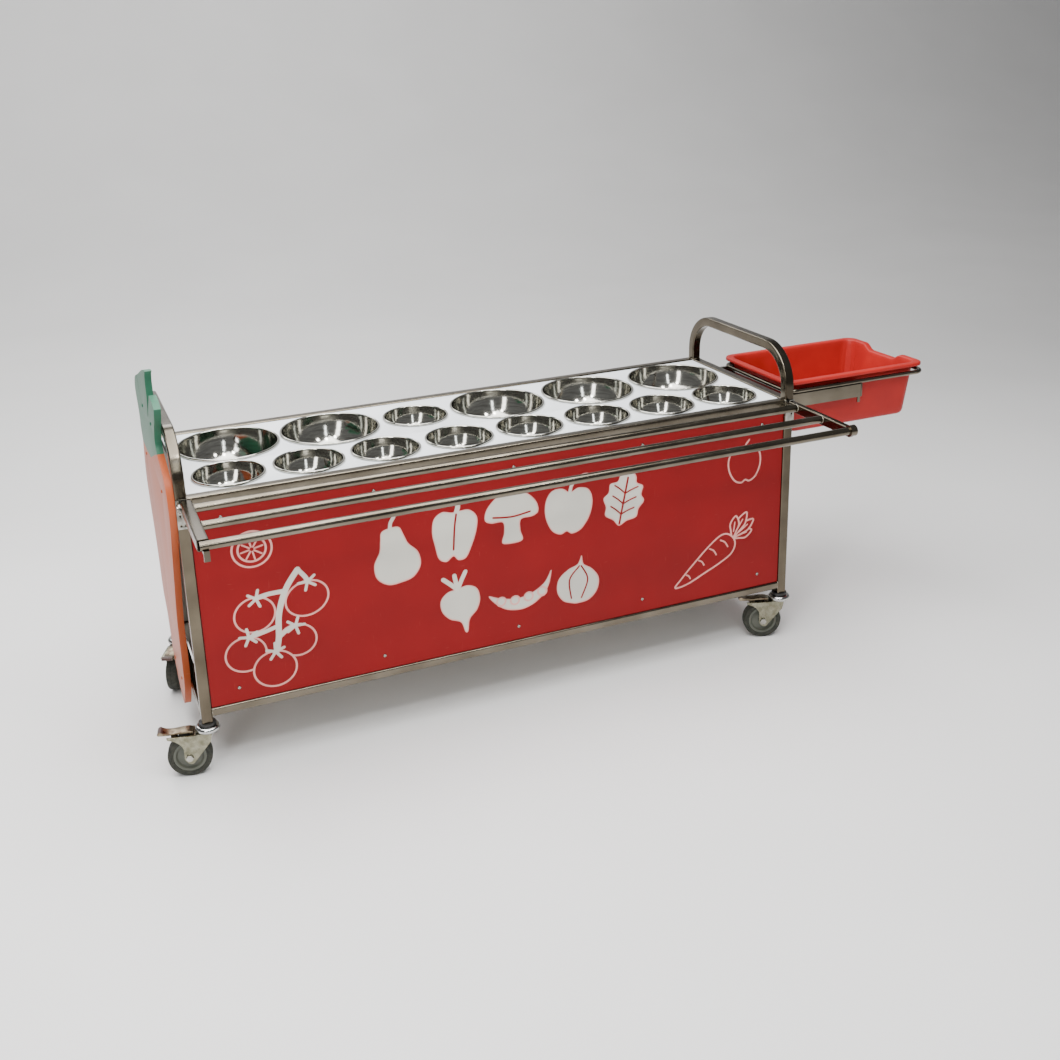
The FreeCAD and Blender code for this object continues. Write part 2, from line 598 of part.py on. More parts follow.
def tub():
    """Tapering plastic bin with a turned-down lip, ribs under the lip and a dip at the far end."""
    outside = Part.makeLoft([tub_outline(TUB_FLOOR_Z), tub_outline(TUB_RIM_Z)], True, True)
    inside = Part.makeLoft([tub_outline(TUB_FLOOR_Z + TUB_WALL, TUB_WALL),
                            tub_outline(TUB_RIM_Z + TUB_WALL, TUB_WALL)], True, True)
    lip = lip_block(0, TUB_RIM_Z - LIP_SKIRT, TUB_RIM_Z)
    rim_edges = [edge for edge in lip.Edges if edge.BoundBox.ZMin > TUB_RIM_Z - 0.01]
    lip = lip.makeFillet(LIP_ROUND, rim_edges)
    lip = lip.cut(lip_block(TUB_WALL, TUB_RIM_Z - LIP_SKIRT, TUB_RIM_Z - TUB_WALL))
    shell = outside.fuse([lip] + lip_ribs())
    shell = shell.cut(inside)
    end_x = (TUB_MID_X + TUB_FOOT[0], TUB_MID_X + TUB_LIP[0])
    shell = shell.cut(scoop_band((end_x[0], end_x[1] + PAST), 0, -SCOOP_DEPTH - PAST))
    dip = scoop_band((TUB_MID_X + TUB_MOUTH[0] - TUB_WALL, end_x[1]), TUB_WALL, 0)
    return shell.fuse(dip).removeSplitter()


def lip_ribs():
    """Short ribs between the wall and the lip, which stand on the ring."""
    low = RING_Z + RING_R + RIB_GAP
    high = TUB_RIM_Z - TUB_WALL / 2
    ribs = []
    for x in SIDE_RIBS:
        side = box((TUB_MID_X + x, TUB_MID_X + x + RIB_THICK),
                   (MID_Y - TUB_LIP[1] + PAST, MID_Y - TUB_MOUTH[1] + RIB_BITE), (low, high))
        ribs += [side, mirrored_y(side)]
    near = TUB_MOUTH[0] - RIB_BITE
    far = TUB_LIP[0] - PAST
    for y in END_RIBS:
        span = (MID_Y + y, MID_Y + y + RIB_THICK)
        ribs.append(box((TUB_MID_X + near, TUB_MID_X + far), span, (low, high)))
        ribs.append(box((TUB_MID_X - far, TUB_MID_X - near), span, (low, high)))
    return ribs


def tub_ring():
    """Rod bent into a rounded rectangle under the lip."""
    mid = V(sum(RING_X) / 2, sum(RING_Y) / 2, RING_Z)
    path = rounded_rectangle(mid, X_AXIS, Y_AXIS, RING_X[1] - RING_X[0], RING_Y[1] - RING_Y[0], RING_BEND)
    start = path.Edges[1].Vertexes[0].Point
    section = Part.Wire(Part.makeCircle(RING_R, start, Y_AXIS))
    return path.makePipeShell([section], True, False)


def tub_arms():
    """Two flat bars under the ring, each on a plate welded to the right rail."""
    top = RING_Z - RING_R
    bar_y = (RING_Y[0] - TUB_ARM_THICK / 2, RING_Y[0] + TUB_ARM_THICK / 2)
    low = top - TUB_ARM_HEIGHT
    far_x = TUB_ARM_X + TUB_END_THICK
    root = box((LENGTH, LENGTH + TUB_ROOT_THICK), (bar_y[0] - TUB_ROOT_SIDE, bar_y[1] + TUB_ROOT_SIDE),
               (low - TUB_ROOT_LOW, RAIL_TOP_Z - TUB_ROOT_DROP))
    bar = box((LENGTH + TUB_ROOT_THICK, TUB_ARM_X), bar_y, (low, top))
    end = box((TUB_ARM_X, far_x), (bar_y[0] - TUB_END_SIDE, bar_y[1] + TUB_END_SIDE), (low, top))
    tab_x = TUB_ARM_X - TUB_TAB_REACH
    tab = box((tab_x, tab_x + TUB_TAB_WIDTH), (bar_y[0], bar_y[0] + TUB_TAB_THICK),
              (low - TUB_TAB_DROP, low))
    arm = root.fuse([bar, end, tab]).removeSplitter()
    return group([arm, mirrored_y(arm)])


# ---- Castors: local frame has the stem on Z and the wheel trailing along +X ----

def castor_head():
    """Fixed half of a castor: plug in the leg, dust cap, stem and its nut."""
    square = rounded_rectangle(V(0, 0, LEG_FOOT_Z), X_AXIS, Y_AXIS, PLUG_SIDE, PLUG_SIDE, TUBE_WALL)
    plug = Part.Face(square).extrude(V(0, 0, PLUG_HEIGHT))
    cap = rod(CAP_R, V(0, 0, RACE_TOP_Z + CAP_GAP), V(0, 0, LEG_FOOT_Z))
    stem = rod(STEM_R, V(0, 0, STEM_LOW_Z), V(0, 0, LEG_FOOT_Z))
    nut = hexagon_bar(2 * STEM_NUT_R * math.cos(math.pi / 6), V(0, 0, STEM_LOW_Z),
                      V(0, 0, STEM_LOW_Z + STEM_NUT))
    return plug.fuse([cap, stem, nut]).removeSplitter()


def castor_fork():
    """Pressed fork: round swivel head, crown plate and two cheeks with a flange along the top."""
    race = Part.Face(Part.Wire([
        Part.makeLine(V(0, 0, FORK_TOP_Z), V(RACE_TOP_R, 0, FORK_TOP_Z)),
        Part.Arc(V(RACE_TOP_R, 0, FORK_TOP_Z), V(RACE_R, 0, (FORK_TOP_Z + RACE_TOP_Z) / 2),
                 V(RACE_TOP_R, 0, RACE_TOP_Z)).toShape(),
        Part.makeLine(V(RACE_TOP_R, 0, RACE_TOP_Z), V(0, 0, RACE_TOP_Z)),
        Part.makeLine(V(0, 0, RACE_TOP_Z), V(0, 0, FORK_TOP_Z))])).revolve(V(0, 0, 0), Z_AXIS, 360)
    outer = CHEEK_IN + CHEEK_THICK
    crown_low = FORK_TOP_Z - CHEEK_THICK
    crown = box((0, CROWN_REACH), (-outer, outer), (crown_low, FORK_TOP_Z))
    crown = crown.fuse(rod(outer, V(0, 0, crown_low), V(0, 0, FORK_TOP_Z)))
    cheek = outline_face(CHEEK, lambda x, z: V(x, CHEEK_IN, z)).extrude(V(0, CHEEK_THICK, 0))
    flange = box(FLANGE_X, (outer, outer + FORK_FLANGE), (crown_low, FORK_TOP_Z))
    side = cheek.fuse(flange)
    fork = race.fuse([crown, side, side.mirror(V(0, 0, 0), Y_AXIS)])
    reach = outer + PAST
    bores = [rod(STEM_R + AXLE_PLAY, V(0, 0, STEM_LOW_Z), V(0, 0, RACE_TOP_Z + PAST)),
             rod(AXLE_R + AXLE_PLAY, V(TRAIL, -reach, WHEEL_R), V(TRAIL, reach, WHEEL_R)),
             rod(PEDAL_PIN_R + AXLE_PLAY, V(PEDAL_PIN[0], -reach, PEDAL_PIN[1]),
                 V(PEDAL_PIN[0], reach, PEDAL_PIN[1]))]
    return fork.cut(bores).removeSplitter()


def castor_axle():
    """Axle bolt with its head and nut, and the pedal's pin."""
    reach = CHEEK_IN + CHEEK_THICK + AXLE_PLAY
    bolt = rod(AXLE_R, V(TRAIL, -reach, WHEEL_R), V(TRAIL, reach, WHEEL_R))
    head = rod(AXLE_HEAD_R, V(TRAIL, -reach - AXLE_HEAD, WHEEL_R), V(TRAIL, -reach, WHEEL_R))
    nut = hexagon_bar(2 * AXLE_HEAD_R, V(TRAIL, reach, WHEEL_R), V(TRAIL, reach + AXLE_HEAD, WHEEL_R))
    pin = rod(PEDAL_PIN_R, V(PEDAL_PIN[0], -reach, PEDAL_PIN[1]), V(PEDAL_PIN[0], reach, PEDAL_PIN[1]))
    return group([bolt.fuse([head, nut]).removeSplitter(), pin])


def ring_about_axle(inner_r, outer_r, half):
    near = V(TRAIL, -half, WHEEL_R)
    far = V(TRAIL, half, WHEEL_R)
    return rod(outer_r, near, far).cut(rod(inner_r, near, far))


def castor_hub():
    """Wheel centre: boss, web and rim."""
    bore = AXLE_R + AXLE_PLAY
    boss = ring_about_axle(bore, HUB_BOSS_R, HUB_BOSS_HALF)
    web = ring_about_axle(bore, HUB_RIM_R + PAST, HUB_WEB_HALF)
    rim = ring_about_axle(HUB_RIM_R, TYRE_INNER_R, HUB_RIM_HALF)
    return boss.fuse([web, rim]).removeSplitter()


def castor_tyre():
    tyre = ring_about_axle(TYRE_INNER_R, WHEEL_R, TYRE_HALF)
    shoulders = [edge for edge in tyre.Edges if edge.BoundBox.ZMax > 2 * WHEEL_R - 1
                 and edge.BoundBox.YLength < 0.1]
    return tyre.makeFillet(TYRE_ROUND, shoulders)


def castor_pedal():
    """Brake pedal between the cheeks: a tread with a raised tip, and a nose that presses the tyre."""
    pin_x, pin_z = PEDAL_PIN
    solids = [outline_face(shape, lambda x, z: V(x, -PEDAL_HALF, z)).extrude(V(0, 2 * PEDAL_HALF, 0))
              for shape in (PEDAL_TREAD, PEDAL_NOSE)]
    hole = rod(PEDAL_PIN_R + AXLE_PLAY, V(pin_x, -PEDAL_HALF - PAST, pin_z),
               V(pin_x, PEDAL_HALF + PAST, pin_z))
    return solids[0].fuse(solids[1]).cut(hole).removeSplitter()


def at_corner(shape, corner, turned=True):
    x, y, yaw = CASTORS[corner]
    return shape.rotated(V(0, 0, 0), Z_AXIS, yaw if turned else 0).translated(V(x, y, 0))


# ---- The whole ----

def build():
    """Every sub-part by name, in layout coordinates."""
    parts = {}
    places = bowl_places()
    skirt_tabs, skirt_screws = skirt_fixings()
    level_tabs, level_screws = level_fixings()
    carrot_screws = carrot_fixings()
    back_screws = [(V(seat.x, DEPTH - seat.y, seat.z), into * -1, length)
                   for seat, into, length in skirt_screws]
    screws = skirt_screws + back_screws + level_screws + carrot_screws

    parts["hoop_left"] = drilled(hoop(TUBE / 2), carrot_screws)
    parts["hoop_right"] = hoop(LENGTH - TUBE / 2)
    for side, rail in top_rails().items():
        parts["top_rail_" + side] = drilled(rail, carrot_screws)
    for side, rail in bottom_rails().items():
        parts["bottom_rail_" + side] = drilled(rail, carrot_screws)

    parts["top_panel"] = drilled(worktop(places), level_screws)
    parts["front_panel"] = drilled(front_skirt(), skirt_screws)
    parts["back_panel"] = drilled(mirrored_y(front_skirt()), back_screws)
    parts["deck"] = drilled(deck(), level_screws)
    tabs = skirt_tabs + [mirrored_y(tab) for tab in skirt_tabs] + level_tabs
    parts["panel_tabs"] = group([drilled(tab, screws) for tab in tabs])
    parts["board_screws"] = group([screw(*place) for place in screws])
    root, leaves = carrot_boards()
    parts["carrot_root"] = drilled(root, carrot_screws)
    parts["carrot_leaves"] = drilled(leaves, carrot_screws)

    parts["tray_arm_left"] = left_arm()
    parts["tray_arm_right"] = tray_arm(RIGHT_ARM_X, TRAY_TUBE_Y[-1], SLEEVE_R)
    parts["tray_tubes"] = tray_tubes()
    parts["tray_hinges"] = tray_hinges()

    for name, x, y, size in places:
        parts[name] = bowl(x, y, size)
    parts["tub"] = tub()
    parts["tub_ring"] = tub_ring()
    parts["tub_arms"] = tub_arms()

    parts["castor_heads"] = group([at_corner(castor_head(), corner, turned=False) for corner in CASTORS])
    for corner in CASTORS:
        for piece, make in (("fork", castor_fork), ("axle", castor_axle), ("hub", castor_hub),
                            ("tyre", castor_tyre), ("pedal", castor_pedal)):
            parts["castor_%s_%s" % (piece, corner)] = at_corner(make(), corner)
    return parts


def origin_of(parts):
    """The point on the floor under the middle of the whole."""
    whole = FreeCAD.BoundBox()
    for shape in parts.values():
        whole.add(shape.optimalBoundingBox(False, False))
    return V((whole.XMin + whole.XMax) / 2, (whole.YMin + whole.YMax) / 2, 0)


parts = build()
origin = origin_of(parts)
os.makedirs("parts", exist_ok=True)
for name, shape in parts.items():
    shape.translated(origin * -1).exportStep("parts/" + name + ".step")
print("sub-parts:", len(parts), "origin in layout coordinates:", origin)
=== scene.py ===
import json
import math

import bmesh
import bpy
from mathutils import Matrix, Vector, geometry

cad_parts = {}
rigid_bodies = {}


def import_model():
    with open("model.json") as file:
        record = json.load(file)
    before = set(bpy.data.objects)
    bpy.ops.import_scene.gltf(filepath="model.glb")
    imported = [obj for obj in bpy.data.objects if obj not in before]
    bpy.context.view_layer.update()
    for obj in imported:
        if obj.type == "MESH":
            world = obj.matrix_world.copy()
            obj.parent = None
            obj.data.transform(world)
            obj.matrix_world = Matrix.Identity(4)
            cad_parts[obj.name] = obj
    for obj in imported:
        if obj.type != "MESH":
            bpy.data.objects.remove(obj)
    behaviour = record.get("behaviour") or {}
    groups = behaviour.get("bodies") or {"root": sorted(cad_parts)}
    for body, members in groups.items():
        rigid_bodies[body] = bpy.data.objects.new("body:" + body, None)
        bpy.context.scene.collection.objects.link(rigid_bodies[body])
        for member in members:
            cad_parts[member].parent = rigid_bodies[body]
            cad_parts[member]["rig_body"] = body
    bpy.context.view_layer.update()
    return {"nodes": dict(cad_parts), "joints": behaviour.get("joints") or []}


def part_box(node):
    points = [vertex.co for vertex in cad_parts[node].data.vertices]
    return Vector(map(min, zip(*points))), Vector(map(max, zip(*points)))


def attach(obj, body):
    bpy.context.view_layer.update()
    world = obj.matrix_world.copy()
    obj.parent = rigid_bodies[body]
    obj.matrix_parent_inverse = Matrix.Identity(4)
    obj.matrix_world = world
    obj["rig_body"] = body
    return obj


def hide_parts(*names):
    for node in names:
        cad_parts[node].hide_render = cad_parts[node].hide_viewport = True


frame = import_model()

# Sizes below are millimetres from the cart's front left corner on the floor: right, back and up.
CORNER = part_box("hoop_left")[0] * Vector((1, 1, 0))
JOINTS = {joint["name"]: joint for joint in frame["joints"]}
CASTOR_CORNERS = ("front_left", "front_right", "back_left", "back_right")
FRAME_LENGTH, FRAME_DEPTH = 1548.0, 482.0


def place(right, back, up):
    return CORNER + Vector((right, back, up)) / 1000


# ---- Joining nodes and meshes ----

def add(tree, kind, inputs=None, **settings):
    """A node with its settings. An input given a socket is joined to it, any other is set."""
    node = tree.nodes.new(kind)
    for key, value in settings.items():
        setattr(node, key, value)
    for key, value in (inputs or {}).items():
        if isinstance(value, bpy.types.NodeSocket):
            tree.links.new(value, node.inputs[key])
        else:
            node.inputs[key].default_value = value
    return node


def smooth(mesh, degrees=32):
    mesh.shade_smooth()
    mesh.set_sharp_from_angle(angle=math.radians(degrees))


def object_from(name, data):
    thing = bpy.data.objects.new(name, data)
    bpy.context.scene.collection.objects.link(thing)
    return thing


def piece_from(name, mesh, *finishes):
    piece = object_from(name, mesh)
    for finish in finishes:
        mesh.materials.append(finish.material)
    return piece


def settle(piece, body, slot, *nodes):
    """The piece moves with its body and stands for the CAD nodes named."""
    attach(piece, body)
    if nodes:
        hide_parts(*nodes)
    return piece


def body_of(node):
    return frame["nodes"][node]["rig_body"]


def plain_mesh(piece):
    """A mesh of what a piece's curve or modifiers come to."""
    bpy.context.view_layer.update()
    graph = bpy.context.evaluated_depsgraph_get()
    return bpy.data.meshes.new_from_object(piece.evaluated_get(graph))


def oval(half_wide, half_high, steps):
    """Points round an oval about the origin."""
    angles = [2 * math.pi * n / steps for n in range(steps)]
    return [(half_wide * math.cos(angle), half_high * math.sin(angle)) for angle in angles]


# ---- Finishes ----

class Finish:
    """A material whose colour, roughness and relief are built up from noise."""

    def __init__(self, name, metallic=0.0, **shader_values):
        self.material = bpy.data.materials.new(name)
        self.material.use_nodes = True
        self.tree = self.material.node_tree
        self.shader = self.tree.nodes["Principled BSDF"]
        self.shader.inputs["Metallic"].default_value = metallic
        for key, value in shader_values.items():
            self.shader.inputs[key.replace("_", " ")].default_value = value
        self.where = add(self.tree, "ShaderNodeTexCoord").outputs["Object"]
        self.normal = None

    def on_map(self):
        """Patterns follow the piece's own map from here on."""
        self.where = add(self.tree, "ShaderNodeTexCoord").outputs["UV"]
        return self

    def noise(self, scale, detail=2.0, stretch=(1, 1, 1), warp=0.0):
        spot = add(self.tree, "ShaderNodeMapping", {"Vector": self.where, "Scale": stretch}).outputs[0]
        return add(self.tree, "ShaderNodeTexNoise", {"Vector": spot, "Scale": scale, "Detail": detail,
                                                     "Distortion": warp}).outputs[0]

    def span(self, factor, low, high, dark=0.0, light=1.0):
        """A factor between two levels, stretched to run from one value to another."""
        return add(self.tree, "ShaderNodeMapRange", {"Value": factor, "From Min": dark, "From Max": light,
                                                     "To Min": low, "To Max": high}).outputs[0]

    def sum(self, first, second, how="ADD"):
        return add(self.tree, "ShaderNodeMath", {0: first, 1: second}, operation=how).outputs[0]

    def tint(self, factor, *stops):
        """Colours along a factor: each stop is where it lies and its colour."""
        ramp = add(self.tree, "ShaderNodeValToRGB", {"Fac": factor})
        keys = ramp.color_ramp.elements
        for n, (where, colour) in enumerate(stops):
            key = keys[n] if n < 2 else keys.new(where)
            key.position = where
            key.color = (*colour, 1)
        return ramp.outputs[0]

    def mixed(self, factor, first, second):
        node = add(self.tree, "ShaderNodeMix", data_type="RGBA")
        for socket, value in zip((node.inputs[0], node.inputs[6], node.inputs[7]), (factor, first, second)):
            if isinstance(value, bpy.types.NodeSocket):
                self.tree.links.new(value, socket)
            else:
                socket.default_value = (*value, 1)
        return node.outputs[2]

    def colour(self, socket):
        self.tree.links.new(socket, self.shader.inputs["Base Color"])
        return self

    def roughness(self, socket):
        self.tree.links.new(socket, self.shader.inputs["Roughness"])
        return self

    def relief(self, height, depth, strength=1.0):
        """Bumps of a depth in metres, over any that are already there."""
        inputs = {"Height": height, "Distance": depth, "Strength": strength}
        if self.normal:
            inputs["Normal"] = self.normal
        self.normal = add(self.tree, "ShaderNodeBump", inputs).outputs[0]
        self.tree.links.new(self.normal, self.shader.inputs["Normal"])
        return self


def satin_steel(name, along, dark, light):
    """Stainless tube ground along its length."""
    steel = Finish(name, metallic=1.0)
    stretch = [1400.0, 1400.0, 1400.0]
    stretch["XYZ".index(along)] = 9.0
    grind = steel.noise(1.0, 3.0, stretch)
    cloud = steel.noise(11.0, 3.0)
    smear = steel.noise(38.0, 4.0, warp=0.6)
    steel.colour(steel.tint(steel.sum(cloud, steel.span(grind, -0.07, 0.07)), (0.22, dark), (0.74, light)))
    steel.roughness(steel.sum(steel.span(grind, 0.13, 0.22), steel.span(smear, 0.0, 0.07, 0.45, 0.75)))
    return steel.relief(grind, 0.00006, 0.5)


def bright_steel(name, dark, light, low, high):
    """Plated or polished steel with faint clouds and handling marks."""
    steel = Finish(name, metallic=1.0)
    cloud = steel.noise(70.0, 4.0)
    marks = steel.noise(1.0, 2.0, (900, 260, 420))
    steel.colour(steel.tint(cloud, (0.30, dark), (0.68, light)))
    steel.roughness(steel.sum(steel.span(cloud, low, high), steel.span(marks, 0.0, 0.10, 0.5, 0.8)))
    return steel.relief(marks, 0.00004, 0.4)


def spun_steel(name, ridges=0.0):
    """Polished bowls with turning lines round them, and shallow rings where asked for."""
    steel = Finish(name, metallic=1.0).on_map()
    lines = steel.noise(1.0, 3.0, (2.0, 2600.0, 1.0))
    wipes = steel.noise(1.0, 3.0, (14.0, 30.0, 1.0), warp=1.0)
    steel.colour(steel.tint(wipes, (0.30, (0.36, 0.35, 0.31)), (0.72, (0.56, 0.55, 0.50))))
    steel.roughness(steel.sum(steel.span(lines, 0.05, 0.12, 0.3, 0.7), steel.span(wipes, 0.0, 0.05)))
    if ridges:
        rings = {"Vector": steel.where, "Scale": ridges, "Distortion": 0.0}
        wave = add(steel.tree, "ShaderNodeTexWave", rings, bands_direction="Y").outputs[1]
        steel.relief(wave, 0.0004, 0.5)
    return steel.relief(lines, 0.00003, 0.35)


def board(name, base, scuff, rough=0.38, shine=0.45):
    """Satin plastic board: a fine pebbled skin, thin scratches and a little dulling."""
    skin = Finish(name, Specular_IOR_Level=shine)
    cloud = skin.noise(5.0, 3.0)
    pebble = skin.noise(1500.0, 2.0)
    scratch_a = skin.span(skin.noise(1.0, 2.0, (35, 700, 260), warp=0.3), 0.0, 1.0, 0.70, 0.80)
    scratch_b = skin.span(skin.noise(1.0, 2.0, (420, 500, 28), warp=0.3), 0.0, 1.0, 0.71, 0.81)
    scratches = skin.sum(scratch_a, scratch_b)
    deeper = [value * 0.86 for value in base]
    tone = skin.tint(cloud, (0.32, deeper), (0.68, base))
    skin.colour(skin.mixed(skin.sum(scratches, 0.35, "MULTIPLY"), tone, scuff))
    skin.roughness(skin.sum(skin.span(cloud, rough - 0.05, rough + 0.07), skin.span(scratches, 0.0, 0.18)))
    return skin.relief(pebble, 0.00008, 0.35).relief(scratches, -0.00005, 0.5)


def moulded(name, dark, light, rough, grain, depth, **shader_values):
    """Moulded plastic with an even fine grain."""
    plastic = Finish(name, **shader_values)
    cloud = plastic.noise(14.0, 3.0)
    texture = plastic.noise(grain, 2.0)
    rubbed = plastic.noise(90.0, 4.0, warp=0.4)
    plastic.colour(plastic.tint(cloud, (0.30, dark), (0.70, light)))
    plastic.roughness(plastic.sum(plastic.span(cloud, rough - 0.05, rough + 0.05),
                                  plastic.span(rubbed, 0.0, 0.12, 0.5, 0.8)))
    return plastic.relief(texture, depth, 0.5)


def tyre_rubber():
    """Dark rubber, dusty where it has rolled."""
    rubber = Finish("tyre_rubber", Specular_IOR_Level=0.35)
    dust = rubber.noise(120.0, 5.0, warp=0.5)
    grain = rubber.noise(1800.0, 2.0)
    rubber.colour(rubber.tint(dust, (0.35, (0.016, 0.018, 0.013)), (0.78, (0.058, 0.056, 0.042))))
    rubber.roughness(rubber.span(dust, 0.55, 0.85))
    return rubber.relief(grain, 0.00010, 0.6)


# One ground stainless steel in three copies. The copies ground along Y and Z are darker than the one along X:
# painted shade on the legs, the hoops' bars, the side rails, the tray brackets and the ring's ends.
STEEL = {"X": satin_steel("satin_steel_x", "X", (0.100, 0.085, 0.062), (0.200, 0.175, 0.135)),
         "Y": satin_steel("satin_steel_y_shaded", "Y", (0.072, 0.062, 0.046), (0.150, 0.130, 0.100)),
         "Z": satin_steel("satin_steel_z_shaded", "Z", (0.070, 0.057, 0.040), (0.145, 0.122, 0.088))}
ZINC = bright_steel("zinc_plate", (0.155, 0.148, 0.098), (0.300, 0.290, 0.215), 0.20, 0.32)
CHROME = bright_steel("chromed_swivel_head", (0.34, 0.34, 0.33), (0.60, 0.60, 0.59), 0.09, 0.17)
BOLT = bright_steel("bolt_steel", (0.22, 0.21, 0.18), (0.44, 0.43, 0.39), 0.16, 0.28)
WELD = bright_steel("weld_metal", (0.26, 0.24, 0.19), (0.46, 0.43, 0.36), 0.26, 0.40)
SPUN = spun_steel("spun_bowl_steel")
RINGED = spun_steel("ringed_bowl_steel", 2.6)
WHITE_BOARD = board("white_worktop_board", (0.86, 0.89, 0.91), (0.66, 0.68, 0.68), 0.33)
RED_BOARD = board("red_skirt_board", (0.250, 0.0048, 0.0062), (0.38, 0.06, 0.05), 0.42, 0.16)
CORE_BOARD = board("white_board_core", (0.70, 0.68, 0.60), (0.60, 0.50, 0.45), 0.55)
CUT_BOARD = board("pink_board_cut", (0.86, 0.44, 0.39), (0.80, 0.55, 0.50), 0.55)
# A grey board darkened to a grey-brown, below the white core's colour: painted shade for the faces inside the
# cart, the deck and the front board's back.
SHADED_GREY_BOARD = board("grey_inner_board_painted_shade", (0.34, 0.31, 0.26), (0.42, 0.40, 0.35), 0.50)
ORANGE_BOARD = board("orange_carrot_board", (0.47, 0.095, 0.028), (0.60, 0.23, 0.13), 0.40, 0.25)
GREEN_BOARD = board("green_leaf_board", (0.034, 0.150, 0.086), (0.14, 0.28, 0.21), 0.40, 0.25)
BIN_RED = moulded("moulded_red_bin", (0.35, 0.015, 0.013), (0.43, 0.020, 0.016), 0.36, 900.0, 0.00010,
                  Specular_IOR_Level=0.22)
RUBBER = tyre_rubber()
HUB_GREY = moulded("grey_hub_plastic", (0.062, 0.066, 0.048), (0.100, 0.104, 0.080), 0.42, 1200.0, 0.00006)
PEDAL_STEEL = bright_steel("stained_pedal_steel", (0.085, 0.050, 0.032), (0.34, 0.29, 0.20), 0.22, 0.36)
PEDAL_TIP = moulded("brown_pedal_tip", (0.035, 0.014, 0.010), (0.070, 0.028, 0.020), 0.34, 1100.0,
                    0.00008)
CAP_BLACK = moulded("black_cap", (0.010, 0.010, 0.010), (0.026, 0.026, 0.024), 0.36, 1300.0, 0.00005)


# ---- CAD pieces with their edges eased ----

BAR_UP = 0.745             # metres up: where the grain turns from the legs to the bar
HEAD_UP = 0.1075           # metres up: where a castor's fork meets its swivel head
TIP_START = 0.098          # metres from the swivel: where a pedal's moulded tip starts
RING_SIDES = (1619, 2002)  # right: between these the bin's ring runs along the cart


def eased(node, name, slot, *finishes, width=0.0, finish_of=None, segments=2):
    """A merged copy of a CAD node with its sharp edges rounded, standing for the node."""
    mesh = bpy.data.meshes.new(name)
    work = bmesh.new()
    work.from_mesh(frame["nodes"][node].data)
    bmesh.ops.remove_doubles(work, verts=work.verts, dist=1e-6)
    bmesh.ops.dissolve_limit(work, angle_limit=math.radians(0.6), verts=work.verts, edges=work.edges)
    if width:
        sharp = [edge for edge in work.edges if edge.is_manifold
                 and edge.calc_face_angle(0) > math.radians(38)]
        bmesh.ops.bevel(work, geom=sharp, offset=width / 1000, segments=segments, profile=0.6,
                        affect="EDGES", clamp_overlap=True)
    if finish_of:
        for face in work.faces:
            face.material_index = finish_of(face)
    work.to_mesh(mesh)
    work.free()
    smooth(mesh)
    return settle(piece_from(name, mesh, *finishes), body_of(node), slot, node)


def along_bar_or_leg(face):
    """Grinding runs up the legs, and front to back along the bar and its bends' crown."""
    return 1 if face.calc_center_median().z > BAR_UP else 0


def shaded_grey_inside(face):
    """The side of the back board that faces into the cart: it takes the grey-brown with painted shade."""
    return 1 if face.normal.y < -0.5 else 0


def chrome_head(face):
    """The round swivel head above a castor's fork."""
    return 1 if face.calc_center_median().z > HEAD_UP else 0


def pedal_tip(corner):
    """Tells the moulded end of a brake pedal from its steel plate."""
    swivel = Vector(JOINTS["swivel_" + corner]["pos_m"]).xy
    return lambda face: 1 if (face.calc_center_median().xy - swivel).length > TIP_START else 0


def across_or_along(face):
    """The ring's rod is ground along its run: along the cart at the sides, across at the ends, whose darker
    steel copy is painted shade.
    """
    spot = face.calc_center_median() * 1000 - CORNER * 1000
    return 1 if spot.x < RING_SIDES[0] or spot.x > RING_SIDES[1] else 0


# The legs, the hoops' bars and the side rails take the darker steel copies along Z and Y, with painted shade
# in them.
for side in ("left", "right"):
    eased("hoop_" + side, "end_hoop_" + side, "frame_steel", STEEL["Z"], STEEL["Y"],
          finish_of=along_bar_or_leg)
for level in ("top", "bottom"):
    for side, axis in (("front", "X"), ("back", "X"), ("left", "Y"), ("right", "Y")):
        node = level + "_rail_" + side
        eased(node, level + "_frame_rail_" + side, "frame_steel", STEEL[axis])
# The back board's inner side and the deck take the darker grey-brown, which is painted shade inside the cart.
eased("back_panel", "back_skirt_board", "skirt_red", RED_BOARD, SHADED_GREY_BOARD, width=0.8,
      finish_of=shaded_grey_inside)
eased("deck", "bottom_deck_board", "deck_grey", SHADED_GREY_BOARD, width=0.8)
eased("panel_tabs", "welded_board_tabs", "frame_steel", STEEL["X"], width=0.4)
eased("carrot_root", "carrot_root_board", "carrot_orange", ORANGE_BOARD, width=1.6, segments=3)
eased("carrot_leaves", "carrot_leaf_board", "leaf_green", GREEN_BOARD, width=1.6, segments=3)
eased("tray_arm_left", "tray_bracket_left", "frame_steel", STEEL["Y"])
eased("tray_arm_right", "tray_bracket_right", "frame_steel", STEEL["Y"])
eased("tray_tubes", "tray_slide_tubes", "frame_steel", STEEL["X"])
eased("tray_hinges", "tray_hinge_plates", "bright_steel", BOLT, width=0.5)
eased("tub_ring", "bin_ring_rod", "frame_steel", STEEL["X"], STEEL["Y"], finish_of=across_or_along)
eased("tub_arms", "bin_ring_bars", "frame_steel", STEEL["X"], width=0.8)
eased("castor_heads", "castor_stems_and_caps", "castor_black", CAP_BLACK, width=0.6)
for corner in CASTOR_CORNERS:
    eased("castor_fork_" + corner, "castor_fork_plate_" + corner, "bright_steel", ZINC, CHROME, width=0.5,
          finish_of=chrome_head)
    eased("castor_axle_" + corner, "castor_axle_bolt_" + corner, "bright_steel", BOLT, width=0.6)
    eased("castor_pedal_" + corner, "brake_pedal_" + corner, "pedal_steel", PEDAL_STEEL, PEDAL_TIP, width=0.9,
          finish_of=pedal_tip(corner))


# ---- Geometry Nodes helpers ----

